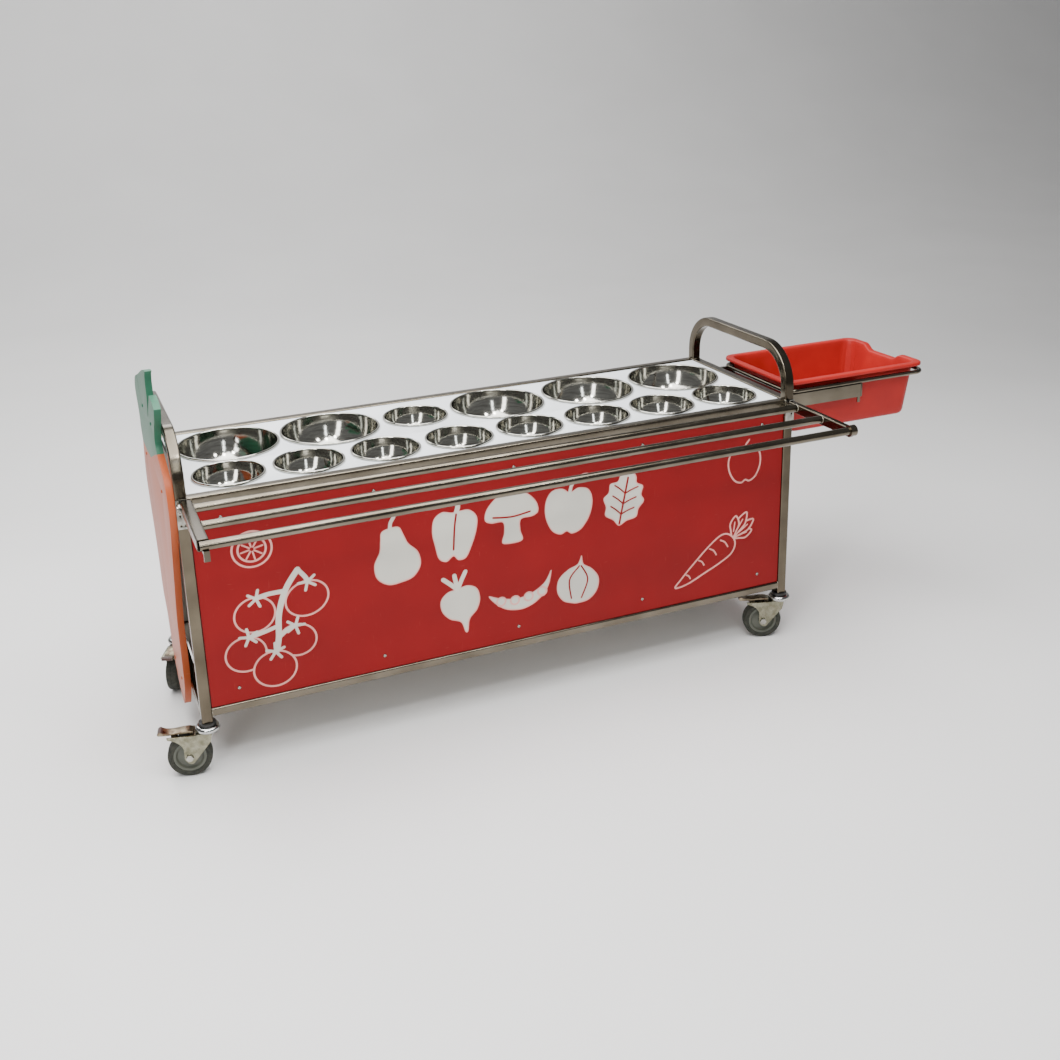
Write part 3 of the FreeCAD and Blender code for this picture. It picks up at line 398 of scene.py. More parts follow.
def geometry_tree(name, sizes):
    """An empty tree with named inputs: numbers, a whole number where the default is one, a material."""
    tree = bpy.data.node_groups.new(name, "GeometryNodeTree")
    tree.interface.new_socket("Geometry", in_out="INPUT", socket_type="NodeSocketGeometry")
    for key, value in sizes.items():
        kind = "NodeSocketInt" if isinstance(value, int) else "NodeSocketFloat"
        tree.interface.new_socket(key, in_out="INPUT", socket_type=kind).default_value = value
    tree.interface.new_socket("Finish", in_out="INPUT", socket_type="NodeSocketMaterial")
    tree.interface.new_socket("Geometry", in_out="OUTPUT", socket_type="NodeSocketGeometry")
    start = tree.nodes.new("NodeGroupInput")
    return tree, start.outputs


def close_tree(tree, given, shape):
    """The tree's end: real geometry with its finish set."""
    real = add(tree, "GeometryNodeRealizeInstances", {"Geometry": shape}).outputs[0]
    done = add(tree, "GeometryNodeSetMaterial", {"Geometry": real, "Material": given["Finish"]}).outputs[0]
    end = tree.nodes.new("NodeGroupOutput")
    tree.links.new(done, end.inputs[0])


def calc(tree, how, first, second=0.0):
    return add(tree, "ShaderNodeMath", {0: first, 1: second}, operation=how).outputs[0]


def point(tree, out, up):
    """A point of a profile: its distance from the axis and its height."""
    return add(tree, "ShaderNodeCombineXYZ", {"X": out, "Z": up}).outputs[0]


def arc(tree, start, middle, end, steps):
    return add(tree, "GeometryNodeCurveArc", {"Start": start, "Middle": middle, "End": end,
                                              "Resolution": steps}, mode="POINTS").outputs[0]


def line(tree, start, end):
    return add(tree, "GeometryNodeCurvePrimitiveLine", {"Start": start, "End": end}).outputs[0]


def turned(tree, stretches, steps):
    """Turns a profile, given as curves end to end, about the Z axis. Gives the mesh and its map."""
    joined = add(tree, "GeometryNodeJoinGeometry")
    for stretch in reversed(stretches):
        tree.links.new(stretch, joined.inputs[0])
    chain = add(tree, "GeometryNodeCurveToMesh", {"Curve": joined.outputs[0]}).outputs[0]
    chain = add(tree, "GeometryNodeMergeByDistance", {"Geometry": chain, "Distance": 1e-6}).outputs[0]
    profile = add(tree, "GeometryNodeMeshToCurve", {"Mesh": chain}).outputs[0]
    count = add(tree, "GeometryNodeAttributeDomainSize", {"Geometry": profile}, component="CURVE").outputs[0]
    grid = add(tree, "GeometryNodeMeshGrid", {"Vertices X": calc(tree, "ADD", steps, 1.0),
                                              "Vertices Y": count})
    index = add(tree, "GeometryNodeInputIndex").outputs[0]
    along = calc(tree, "FLOORED_MODULO", index, count)
    turn = calc(tree, "DIVIDE", calc(tree, "FLOOR", calc(tree, "DIVIDE", index, count)), steps)
    spot = add(tree, "GeometryNodeInputPosition").outputs[0]
    sample = add(tree, "GeometryNodeSampleIndex", {"Geometry": profile, "Value": spot, "Index": along},
                 data_type="FLOAT_VECTOR").outputs[0]
    angle = calc(tree, "MULTIPLY", turn, 2 * math.pi)
    swung = add(tree, "ShaderNodeVectorRotate", {"Vector": sample, "Angle": angle},
                rotation_type="Z_AXIS").outputs[0]
    shape = add(tree, "GeometryNodeSetPosition", {"Geometry": grid.outputs[0], "Position": swung}).outputs[0]
    shape = add(tree, "GeometryNodeStoreNamedAttribute", {"Geometry": shape, "Name": "UVMap",
                                                          "Value": grid.outputs[1]},
                data_type="FLOAT2", domain="CORNER").outputs[0]
    return add(tree, "GeometryNodeMergeByDistance", {"Geometry": shape, "Distance": 2e-6}).outputs[0]


def grown(name, tree, start_mesh, finish, sizes):
    """Runs a tree on a mesh with its named sizes, and keeps the plain mesh that comes out."""
    piece = piece_from(name, start_mesh)
    modifier = piece.modifiers.new(name, "NODES")
    modifier.node_group = tree
    values = dict(sizes, Finish=finish.material)
    for item in tree.interface.items_tree:
        if item.in_out == "INPUT" and item.name in values:
            modifier[item.identifier] = values[item.name]
    mesh = plain_mesh(piece)
    piece.modifiers.remove(modifier)
    piece.data = mesh
    mesh.name = name
    return piece


def outward(mesh):
    work = bmesh.new()
    work.from_mesh(mesh)
    bmesh.ops.recalc_face_normals(work, faces=work.faces)
    work.to_mesh(mesh)
    work.free()


def points_mesh(name, points, **vectors):
    """Loose points, each with its own value of every named vector."""
    mesh = bpy.data.meshes.new(name)
    mesh.from_pydata([tuple(spot) for spot in points], [], [])
    for key, values in vectors.items():
        layer = mesh.attributes.new(key, "FLOAT_VECTOR", "POINT")
        for item, value in zip(layer.data, values):
            item.vector = value
    return mesh


# ---- Spun steel bowls ----

def bowl_tree():
    """Bowl about the middle of its rolled rim: floor, belly, rim and back under it."""
    tree, given = geometry_tree("spun bowl", {"Rim radius": 0.083, "Floor radius": 0.038,
                                              "Belly radius": 0.066, "Belly height": 0.030, "Depth": 0.069,
                                              "Wall": 0.0012, "Roll radius": 0.003, "Steps round": 96})
    wall, roll, depth = given["Wall"], given["Roll radius"], given["Depth"]
    lip = calc(tree, "SUBTRACT", given["Rim radius"], calc(tree, "MULTIPLY", roll, 2.0))
    low = calc(tree, "MULTIPLY", depth, -1.0)
    low_inside = calc(tree, "ADD", low, wall)
    under = calc(tree, "MULTIPLY", roll, -0.8)
    belly_up = calc(tree, "ADD", low, given["Belly height"])
    floor_inside = calc(tree, "SUBTRACT", given["Floor radius"], calc(tree, "MULTIPLY", wall, 0.25))
    dome = calc(tree, "MULTIPLY", wall, 0.8)
    middle_inside = point(tree, 0.0, calc(tree, "ADD", low_inside, dome))
    half_floor = calc(tree, "MULTIPLY", floor_inside, 0.55)
    knee_inside = point(tree, half_floor, calc(tree, "ADD", low_inside, calc(tree, "MULTIPLY", dome, 0.7)))
    edge_inside = point(tree, floor_inside, low_inside)
    belly_inside = point(tree, given["Belly radius"], belly_up)
    lip_inside = point(tree, lip, 0.0)
    rim = point(tree, given["Rim radius"], 0.0)
    lip_outside = point(tree, calc(tree, "ADD", lip, wall), under)
    belly_outside = point(tree, calc(tree, "ADD", given["Belly radius"], wall),
                          calc(tree, "SUBTRACT", belly_up, calc(tree, "MULTIPLY", wall, 0.5)))
    edge_outside = point(tree, given["Floor radius"], low)
    middle_outside = point(tree, 0.0, low)
    stretches = [arc(tree, middle_inside, knee_inside, edge_inside, 6),
                 arc(tree, edge_inside, belly_inside, lip_inside, 28),
                 arc(tree, lip_inside, rim, lip_outside, 18),
                 arc(tree, lip_outside, belly_outside, edge_outside, 20),
                 line(tree, edge_outside, middle_outside)]
    close_tree(tree, given, turned(tree, stretches, given["Steps round"]))
    return tree


BOWL_TREE = bowl_tree()
BOWL_ROLL = 0.003
LARGE_BOWL = {"Floor radius": 0.058, "Belly radius": 0.100, "Belly height": 0.96 * 0.046}
SMALL_BOWL = {"Floor radius": 0.038, "Belly radius": 0.066, "Belly height": 0.66 * 0.046}
LARGE_FROM = 0.1           # rim radius, metres


def bowl(node):
    low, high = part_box(node)
    rim = (high.x - low.x) / 2
    form, finish = (LARGE_BOWL, SPUN) if rim > LARGE_FROM else (SMALL_BOWL, RINGED)
    sizes = {**form, "Rim radius": rim, "Depth": high.z - low.z - BOWL_ROLL, "Roll radius": BOWL_ROLL}
    piece = grown("steel_" + node, BOWL_TREE, points_mesh(node, [(0, 0, 0)]), finish, sizes)
    outward(piece.data)
    middle = (low + high) / 2
    piece.data.transform(Matrix.Translation((middle.x, middle.y, high.z - BOWL_ROLL)))
    smooth(piece.data, 50)
    settle(piece, body_of(node), "bowl_steel", node)


for node in sorted(frame["nodes"]):
    if node.startswith("bowl_"):
        bowl(node)


# ---- Boards cut to an outline ----

def curve_board(name, finish, outlines, low, thick, rounding):
    """Level board: its outline and its holes, with eased edges, from its underside up."""
    curve = bpy.data.curves.new(name, "CURVE")
    curve.dimensions = "2D"
    curve.fill_mode = "BOTH"
    curve.extrude = thick / 2000 - rounding / 1000
    curve.bevel_depth = rounding / 1000
    curve.bevel_resolution = 2
    curve.offset = -rounding / 1000
    for outline in outlines:
        spline = curve.splines.new("POLY")
        spline.points.add(len(outline) - 1)
        for spot, (right, back) in zip(spline.points, outline):
            spot.co = (*place(right, back, 0).xy, 0, 1)
        spline.use_cyclic_u = True
    draft = object_from(name + "_curve", curve)
    mesh = plain_mesh(draft)
    bpy.data.objects.remove(draft)
    mesh.name = name
    mesh.transform(Matrix.Translation((0, 0, (low + thick / 2) / 1000)))
    work = bmesh.new()
    work.from_mesh(mesh)
    bmesh.ops.remove_doubles(work, verts=work.verts, dist=1e-6)
    work.to_mesh(mesh)
    work.free()
    smooth(mesh, 30)
    mesh.materials.clear()
    return piece_from(name, mesh, finish)


HOLE_MARGIN = 4.2          # from a bowl's rim in to its hole
WORKTOP_ROUNDING = 1.2
low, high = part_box("top_panel")
low, high = (low - CORNER) * 1000, (high - CORNER) * 1000
worktop_outlines = [[(low.x, low.y), (high.x, low.y), (high.x, high.y), (low.x, high.y)]]
for node in frame["nodes"]:
    if node.startswith("bowl_"):
        bowl_low, bowl_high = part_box(node)
        middle = ((bowl_low + bowl_high) / 2 - CORNER) * 1000
        radius = (bowl_high.x - bowl_low.x) * 500 - HOLE_MARGIN
        worktop_outlines.append([(middle.x + x, middle.y + y) for x, y in oval(radius, radius, 96)])
worktop = curve_board("white_worktop", WHITE_BOARD, worktop_outlines, low.z, high.z - low.z,
                      WORKTOP_ROUNDING)
settle(worktop, body_of("top_panel"), "worktop_white", "top_panel")


# ---- Front board with its routed pictures ----

BOARD_FACE = 4.5           # millimetres behind the frame's front
BOARD_X = (26.0, 1522.0)
BOARD_Z = (163.0, 644.0)
BOARD_THICK = 12.0
ROUTE_DEPTH = 1.4
LINE = 4.7                 # width of a routed line
CUT_SLOPE = 2.6            # how far the cut's finish shows inside a routed shape
SKIN, CORE, CUT, INSIDE = range(4)  # which finish a layer of the drawing shows


def smooth_loop(points, steps=8, closed=True):
    """A smooth line through points, sampled between each two of them."""
    spots = [Vector(p) for p in points]
    count = len(spots)
    line_points = []
    for n in range(count if closed else count - 1):
        p0 = spots[(n - 1) % count] if closed or n > 0 else spots[0]
        p1, p2 = spots[n], spots[(n + 1) % count]
        p3 = spots[(n + 2) % count] if closed or n + 2 < count else spots[-1]
        for k in range(steps):
            t = k / steps
            line_points.append(0.5 * (2 * p1 + (p2 - p0) * t + (2 * p0 - 5 * p1 + 4 * p2 - p3) * t ** 2
                                      + (3 * p1 - p0 - 3 * p2 + p3) * t ** 3))
    if not closed:
        line_points.append(spots[-1])
    return line_points


def beside(points, distance, closed=True):
    """The line moved sideways by a distance, to its right where that is positive."""
    moved = []
    count = len(points)
    for n, spot in enumerate(points):
        before = points[(n - 1) % count] if closed or n > 0 else spot
        after = points[(n + 1) % count] if closed or n + 1 < count else spot
        along = (after - before).normalized()
        moved.append(spot + Vector((along.y, -along.x)) * distance)
    return moved


def shifted(points, right, up, size=1.0, turn=0.0):
    swing = Matrix.Rotation(math.radians(turn), 2)
    return [swing @ (Vector(p) * size) + Vector((right, up)) for p in points]


def anticlockwise_loop(points):
    loop = smooth_loop(points)
    twice_area = sum(a.x * b.y - b.x * a.y for a, b in zip(loop, loop[1:] + loop[:1]))
    return loop[::-1] if twice_area < 0 else loop


def line_loop(points, inside=SKIN):
    """A closed routed line: its outer edge in the cut's finish, and what it encloses."""
    loop = anticlockwise_loop(points)
    return [(beside(loop, LINE / 2), CUT), (beside(loop, -LINE / 2), inside)]


def open_line(points, kind=CUT, width=LINE, steps=8):
    """A routed line with round ends."""
    path = smooth_loop(points, steps, closed=False)
    half = width / 2
    right_side = beside(path, half, closed=False)
    left_side = beside(path, -half, closed=False)[::-1]
    ends = []
    for tip, inner in ((path[-1], path[-2]), (path[0], path[1])):
        out = (tip - inner).normalized()
        side = Vector((out.y, -out.x))
        ends.append([tip + out * (half * math.sin(a)) + side * (half * math.cos(a))
                     for a in (math.pi / 4, math.pi / 2, 3 * math.pi / 4)])
    return [(right_side + ends[0] + left_side + ends[1], kind)]


def filled(points):
    """A routed-out shape that shows the white core, with the cut's finish round its edge."""
    loop = anticlockwise_loop(points)
    return [(loop, CUT), (beside(loop, -CUT_SLOPE), CORE)]


def both_sides(half):
    """An even outline from its right half, from the top down."""
    return half + [(-right, up) for right, up in reversed(half) if right]


PEAR = both_sides([(0, 46), (15, 43), (20, 28), (25, 10), (38, -10), (38, -34), (22, -51), (0, -54)])
PEPPER = [(-6, 38), (8, 40), (26, 40), (40, 26), (40, 2), (34, -22), (24, -46), (10, -50), (0, -42),
          (-12, -51), (-26, -44), (-34, -20), (-40, 4), (-38, 28), (-24, 40)]
POD = [(-60, 12), (-40, 2), (-10, -8), (20, -6), (46, 6), (62, 26), (52, -4), (30, -24), (0, -32),
       (-30, -24), (-50, -6)]
MUSHROOM = both_sides([(0, 50), (28, 44), (48, 24), (52, 4), (40, -4), (18, -6), (16, -26), (20, -46),
                       (0, -50)])
APPLE = both_sides([(0, 34), (16, 42), (36, 38), (46, 18), (44, -10), (30, -36), (12, -45), (0, -40)])
LEAF = both_sides([(0, 62), (16, 48), (20, 36), (34, 30), (34, 14), (42, 2), (34, -14), (32, -30),
                   (14, -38), (0, -48)])
RADISH = [(0, 30), (20, 30), (36, 18), (38, -4), (28, -24), (10, -38), (2, -60), (-4, -60), (-8, -38),
          (-27, -24), (-38, -4), (-36, 18), (-20, 30)]
ONION = both_sides([(0, 50), (6, 34), (24, 24), (40, 6), (40, -18), (26, -36), (6, -42)])
SPRIG = [(0, 0), (10, 12), (26, 18), (40, 14), (30, 2), (14, -4)]


def vein(side, up):
    return [(0, up - 8), (side * 12, up), (side * 24, up + 6)]


# Outline, place, size, turn, and the lines over it: points, what they show, width.
PICTURES = (
    (PEAR, 474, 452, 1.42, 8, [([(0, 44), (3, 54), (10, 62)], CORE, 9)]),
    (PEPPER, 620, 474, 1.38, -5, [([(2, 38), (4, 50), (-4, 60)], CORE, 12),
                                  ([(2, 34), (0, 10), (0, -30)], SKIN, 4.4)]),
    (MUSHROOM, 766, 486, 1.32, 0, [([(-36, 6), (0, 2), (36, 6)], SKIN, 4.4)]),
    (APPLE, 914, 478, 1.36, -6, [([(0, 34), (2, 46), (10, 58)], CORE, 9)]),
    (SPRIG, 930, 546, 1.05, 4, []),
    (LEAF, 1064, 476, 1.36, -12, [([(0, 44), (0, 0), (0, -44)], SKIN, 5)]
     + [(vein(side, up), SKIN, 3.6) for side in (-1, 1) for up in (22, 2, -18)]),
    (RADISH, 628, 292, 1.30, 10,
     [([(0, 28), (lean / 2, 44), (lean, 58)], CORE, 11) for lean in (-22, 0, 22)]),
    (POD, 784, 286, 1.38, 6, []),
    (ONION, 938, 284, 1.38, -8, [([(side * 2, 30), (side * 18, 4), (side * 10, -32)], SKIN, 3.8)
                                 for side in (-1, 1)]),
)


def silhouettes():
    """Solid vegetable and fruit shapes across the middle of the board."""
    layers = []
    for outline, right, up, size, turn, lines in PICTURES:
        layers += filled(shifted(outline, right, up, size, turn))
        for points, kind, width in lines:
            layers += open_line(shifted(points, right, up, size, turn), kind, width)
    pea = oval(14, 14, 12)
    for n in range(4):
        layers += line_loop(shifted(pea, 732 + n * 36, 276 - 7 * math.sin(n + 0.5), 0.80), CORE)
    return layers


def round_line(right, up, wide, high, turn=0.0):
    return line_loop(shifted(oval(wide / 2, high / 2, 16), right, up, 1.0, turn))


def star(right, up, size, turn):
    """The small leaves where a tomato meets its stalk."""
    layers = []
    for n in range(5):
        swing = Matrix.Rotation(math.radians(turn + n * 72), 2)
        tip = swing @ Vector((0, size))
        leaf = [(right + tip.x * part, up + tip.y * part) for part in (0.0, 0.5, 1.0)]
        layers += open_line(leaf, CORE, 7.0, 3)
    return layers


def drawings():
    """Line drawings at the board's ends: tomatoes on a stalk, a citrus fruit, an apple and a carrot."""
    layers = []
    fruits = ((142, 368, 92, 84, 10), (232, 286, 88, 78, -12), (114, 276, 92, 84, 0),
              (262, 384, 100, 84, 14), (176, 226, 98, 88, -4))
    for right, up, wide, high, turn in fruits:
        layers += round_line(right, up, wide, high, turn)
    layers += open_line([(246, 458), (216, 416), (196, 360), (190, 300), (182, 268)], CORE, 14)
    layers += open_line([(246, 458), (262, 436), (266, 424)], CORE, 11)
    layers += open_line([(214, 412), (176, 412), (150, 408)], CORE, 11)
    layers += open_line([(192, 330), (160, 322), (128, 316)], CORE, 10)
    layers += open_line([(190, 300), (212, 316), (228, 322)], CORE, 10)
    for right, up, turn in ((266, 424, 20), (148, 406, -15), (124, 316, 10), (230, 322, -20), (180, 268, 0)):
        layers += star(right, up, 21, turn)
    layers += round_line(150, 526, 88, 84) + round_line(150, 526, 62, 58)
    for n in range(8):
        layers += open_line(shifted([(0, 6), (0, 25)], 150, 526, 1.0, n * 45 + 12), CUT, 4.0, 2)
    layers += line_loop(shifted(APPLE, 1410, 512, 1.02, 4))
    layers += open_line([(1408, 548), (1412, 566), (1422, 578)], CUT, LINE)
    root = [(1212, 208), (1232, 232), (1268, 268), (1310, 306), (1346, 330), (1372, 326), (1388, 302),
            (1378, 274), (1342, 252), (1296, 232), (1248, 212)]
    for lean, far in ((-34, 58), (-12, 74), (12, 76), (36, 60)):
        frond = [(0, 0), (9, far * 0.35), (13, far * 0.66), (0, far), (-13, far * 0.66), (-9, far * 0.35)]
        rib = [(0, far * 0.3), (0, far * 0.72)]
        layers += line_loop(shifted(frond, 1380, 316, 1.0, lean - 44))
        layers += open_line(shifted(rib, 1380, 316, 1.0, lean - 44), CUT, 3.6, 2)
    layers += line_loop(root)
    for right, up, reach in ((1244, 238, 12), (1280, 272, 16), (1312, 298, 20), (1344, 316, 22)):
        layers += open_line([(right, up), (right + reach * 0.6, up - reach * 0.35),
                             (right + reach, up - reach)], CUT, 4.2, 3)
    return layers


def winds_round(loop, spot):
    """How many times a loop goes round a spot."""
    turns = 0
    for a, b in zip(loop, loop[1:] + loop[:1]):
        if (a.y <= spot.y) != (b.y <= spot.y):
            side = (b.x - a.x) * (spot.y - a.y) - (spot.x - a.x) * (b.y - a.y)
            if (side > 0) == (b.y > a.y):
                turns += 1 if b.y > a.y else -1
    return turns


def topmost(layers, spot):
    """The finish of the last drawn layer over a spot."""
    for loop, kind, low, high in reversed(layers):
        if low.x < spot.x < high.x and low.y < spot.y < high.y and winds_round(loop, spot):
            return kind
    return SKIN


def routed_board(name, layers):
    """Board whose face is routed out wherever the topmost layer over it isn't skin."""
    border = [Vector((BOARD_X[0], BOARD_Z[0])), Vector((BOARD_X[1], BOARD_Z[0])),
              Vector((BOARD_X[1], BOARD_Z[1])), Vector((BOARD_X[0], BOARD_Z[1]))]
    spots = []
    edges = []
    boxed = []
    for loop, kind in [(border, SKIN)] + layers:
        first, count = len(spots), len(loop)
        edges += [(first + n, first + (n + 1) % count) for n in range(count)]
        spots += loop
        boxed.append((loop, kind, Vector((min(p.x for p in loop), min(p.y for p in loop))),
                      Vector((max(p.x for p in loop), max(p.y for p in loop)))))
    made = geometry.delaunay_2d_cdt(spots, edges, [], 0, 1e-4)
    flat, faces = made[0], made[2]
    kinds = [topmost(boxed, (flat[a] + flat[b] + flat[c]) / 3) for a, b, c in faces]
    work = bmesh.new()
    levels = {}

    def spot_at(n, deep):
        if (n, deep) not in levels:
            back = BOARD_FACE + deep
            levels[n, deep] = work.verts.new(place(flat[n].x, back, flat[n].y))
        return levels[n, deep]

    sides = {}
    for corners, kind in zip(faces, kinds):
        deep = ROUTE_DEPTH if kind else 0.0
        face = work.faces.new([spot_at(n, deep) for n in corners])
        face.material_index = kind
        for a, b in zip(corners, corners[1:] + corners[:1]):
            sides.setdefault((min(a, b), max(a, b)), []).append((deep, a, b))
    for shared in sides.values():
        if len(shared) == 2 and shared[0][0] != shared[1][0]:
            deep, a, b = max(shared)
            wall = work.faces.new([spot_at(b, deep), spot_at(a, deep), spot_at(a, 0.0), spot_at(b, 0.0)])
            wall.material_index = CUT
        elif len(shared) == 1:
            deep, a, b = shared[0]
            work.faces.new([spot_at(b, 0.0), spot_at(a, 0.0), spot_at(a, BOARD_THICK),
                            spot_at(b, BOARD_THICK)])
    rim = [edge for edge in work.edges if edge.is_boundary]
    # The board's back takes the darker grey-brown, which is painted shade inside the cart.
    for face in bmesh.ops.contextual_create(work, geom=rim)["faces"]:
        face.material_index = INSIDE
    bmesh.ops.recalc_face_normals(work, faces=work.faces)
    mesh = bpy.data.meshes.new(name)
    work.to_mesh(mesh)
    work.free()
    return piece_from(name, mesh, RED_BOARD, CORE_BOARD, CUT_BOARD, SHADED_GREY_BOARD)


front_board = routed_board("routed_front_board", silhouettes() + drawings())
settle(front_board, body_of("front_panel"), "skirt_red", "front_panel")


# ---- Screws ----

def screw_tree():
    """Pan-head screws with a six-sided socket, one on each point, along the point's own direction."""
    tree, given = geometry_tree("pan head screws", {"Head radius": 0.004, "Head height": 0.0022,
                                                    "Socket radius": 0.0018, "Socket depth": 0.0012,
                                                    "Shank radius": 0.002, "Shank length": 0.012,
                                                    "Steps round": 20})
    head_r, head_h, shank_r = given["Head radius"], given["Head height"], given["Shank radius"]
    low = calc(tree, "MULTIPLY", given["Shank length"], -1.0)
    crown = calc(tree, "MULTIPLY", head_r, 0.55)
    shoulder = calc(tree, "MULTIPLY", head_h, 0.35)
    stretches = [line(tree, point(tree, 0.0, low), point(tree, shank_r, low)),
                 line(tree, point(tree, shank_r, low), point(tree, shank_r, 0.0)),
                 line(tree, point(tree, shank_r, 0.0), point(tree, head_r, 0.0)),
                 line(tree, point(tree, head_r, 0.0), point(tree, head_r, shoulder)),
                 arc(tree, point(tree, head_r, shoulder),
                     point(tree, calc(tree, "MULTIPLY", head_r, 0.88), calc(tree, "MULTIPLY", head_h, 0.80)),
                     point(tree, crown, head_h), 6),
                 line(tree, point(tree, crown, head_h), point(tree, 0.0, head_h))]
    solid = turned(tree, stretches, given["Steps round"])
    socket = add(tree, "GeometryNodeMeshCylinder", {"Vertices": 6, "Radius": given["Socket radius"],
                                                    "Depth": calc(tree, "MULTIPLY", given["Socket depth"],
                                                                  2.0)}).outputs[0]
    lift = add(tree, "ShaderNodeCombineXYZ", {"Z": head_h}).outputs[0]
    socket = add(tree, "GeometryNodeTransform", {"Geometry": socket, "Translation": lift}).outputs[0]
    cut = add(tree, "GeometryNodeMeshBoolean", operation="DIFFERENCE")
    tree.links.new(solid, cut.inputs[0])
    tree.links.new(socket, cut.inputs[1])
    facing = add(tree, "GeometryNodeInputNamedAttribute", {"Name": "out"},
                 data_type="FLOAT_VECTOR").outputs[0]
    turn = add(tree, "FunctionNodeAlignRotationToVector", {"Vector": facing}, axis="Z").outputs[0]
    screws = add(tree, "GeometryNodeInstanceOnPoints",
                 {"Points": given["Geometry"], "Instance": cut.outputs[0], "Rotation": turn}).outputs[0]
    close_tree(tree, given, screws)
    return tree


SKIRT_SCREW_X = (91.0, 433.0, 775.0, 1116.0, 1458.0)
SKIRT_SCREW_Z = (198.0, 613.0)
CARROT_FACE = -15.0        # right: the carrot boards' outer side
CARROT_SCREWS = ((100.0, 657.5), (380.0, 657.5), (190.0, 152.0), (300.0, 152.0))
LEAF_SCREWS = ((165.0, 793.5), (320.0, 793.5))
LEVEL_SCREWS = {650.0: ((406.7, 35), (771.5, 35), (1136.3, 35), (293, 447), (750, 447), (1248, 447)),
                143.0: ((300, 30), (775, 30), (1250, 30), (300, 452), (775, 452), (1250, 452))}
screw_seats = []
screw_ways = []
for right in SKIRT_SCREW_X:
    for up in SKIRT_SCREW_Z:
        screw_seats += [place(right, BOARD_FACE, up), place(right, FRAME_DEPTH - BOARD_FACE, up)]
        screw_ways += [(0, -1, 0), (0, 1, 0)]
for up, spots in LEVEL_SCREWS.items():
    for right, back in spots:
        screw_seats.append(place(right, back, up))
        screw_ways.append((0, 0, -1))
SCREW_TREE = screw_tree()


def fixing_screws(name, seats, ways, finish, *nodes):
    screws = grown(name, SCREW_TREE, points_mesh(name, seats, out=ways), finish, {"Shank length": 0.014})
    outward(screws.data)
    smooth(screws.data, 35)
    settle(screws, body_of("board_screws"), "bright_steel", *nodes)


fixing_screws("board_fixing_screws", screw_seats, screw_ways, BOLT, "board_screws")
for name, spots, finish in (("carrot_root_screws", CARROT_SCREWS, ORANGE_BOARD),
                            ("carrot_leaf_screws", LEAF_SCREWS, GREEN_BOARD)):
    fixing_screws(name, [place(CARROT_FACE, back, up) for back, up in spots],
                  [(-1, 0, 0)] * len(spots), finish)


# ---- Welds ----

def weld_tree():
    """A row of small overlapping beads along every line of the mesh."""
    tree, given = geometry_tree("weld beads", {"Bead radius": 0.0015, "Spacing": 0.0014, "Seed": 3})
    path = add(tree, "GeometryNodeMeshToCurve", {"Mesh": given["Geometry"]}).outputs[0]
    path = add(tree, "GeometryNodeResampleCurve", {"Curve": path, "Length": given["Spacing"]},
               mode="LENGTH").outputs[0]
    bead = add(tree, "GeometryNodeMeshUVSphere", {"Segments": 8, "Rings": 4,
                                                  "Radius": given["Bead radius"]}).outputs[0]
    size = add(tree, "FunctionNodeRandomValue", {0: (0.75, 0.75, 0.75), 1: (1.1, 1.1, 1.1),
                                                 "Seed": given["Seed"]}, data_type="FLOAT_VECTOR").outputs[0]
    beads = add(tree, "GeometryNodeInstanceOnPoints", {"Points": path, "Instance": bead,
                                                       "Scale": size}).outputs[0]
    close_tree(tree, given, beads)
    return tree


WELD_TREE = weld_tree()


def welds(name, body, slot, loops, radius):
    """Weld beads along closed lines of points."""
    mesh = bpy.data.meshes.new(name)
    spots = []
    edges = []
    for loop in loops:
        first = len(spots)
        spots += [tuple(spot) for spot in loop]
        edges += [(n, n + 1) for n in range(first, len(spots) - 1)] + [(len(spots) - 1, first)]
    mesh.from_pydata(spots, edges, [])
    piece = grown(name, WELD_TREE, mesh, WELD, {"Bead radius": radius, "Spacing": radius * 0.95})
    smooth(piece.data, 80)
    return settle(piece, body, slot)


def square_loop(axis, at, middle, rail_up, half):
    """A tube's outline where it ends, in the plane across X or Y."""
    loop = []
    for a, b in ((-1, -1), (1, -1), (1, 1), (-1, 1)):
        across = middle + a * half
        up = rail_up + b * half
        loop.append(place(at, across, up) if axis == "X" else place(across, at, up))
    return loop


RAILS = ((657.5, 12.5), (152.0, 10.0))  # middle height and half width, top and bottom
WELD_AT = 25.0 + 0.4                    # just clear of a leg's face
WELD_INSET = 1.0                        # from a rail's corners
TRAY_TUBE_UP = 660.0
TRAY_TUBE_BACKS = (-42.0, -145.0)
TRAY_TUBE_ENDS = (33.4, 1525.6)
TRAY_WELD_RADIUS = 9.3

frame_loops = []
for rail_up, half in RAILS:
    for axis, run, width in (("X", FRAME_LENGTH, FRAME_DEPTH), ("Y", FRAME_DEPTH, FRAME_LENGTH)):
        for middle in (half, width - half):
            for at in (WELD_AT, run - WELD_AT):
                frame_loops.append(square_loop(axis, at, middle, rail_up, half - WELD_INSET))
welds("frame_weld_beads", "frame", "frame_steel", frame_loops, 0.0013)
tray_loops = [[place(right, back + out, TRAY_TUBE_UP + rise)
               for out, rise in oval(TRAY_WELD_RADIUS, TRAY_WELD_RADIUS, 24)]
              for right in TRAY_TUBE_ENDS for back in TRAY_TUBE_BACKS]
welds("tray_weld_beads", "tray_slide", "frame_steel", tray_loops, 0.0012)


# ---- Castor wheels ----

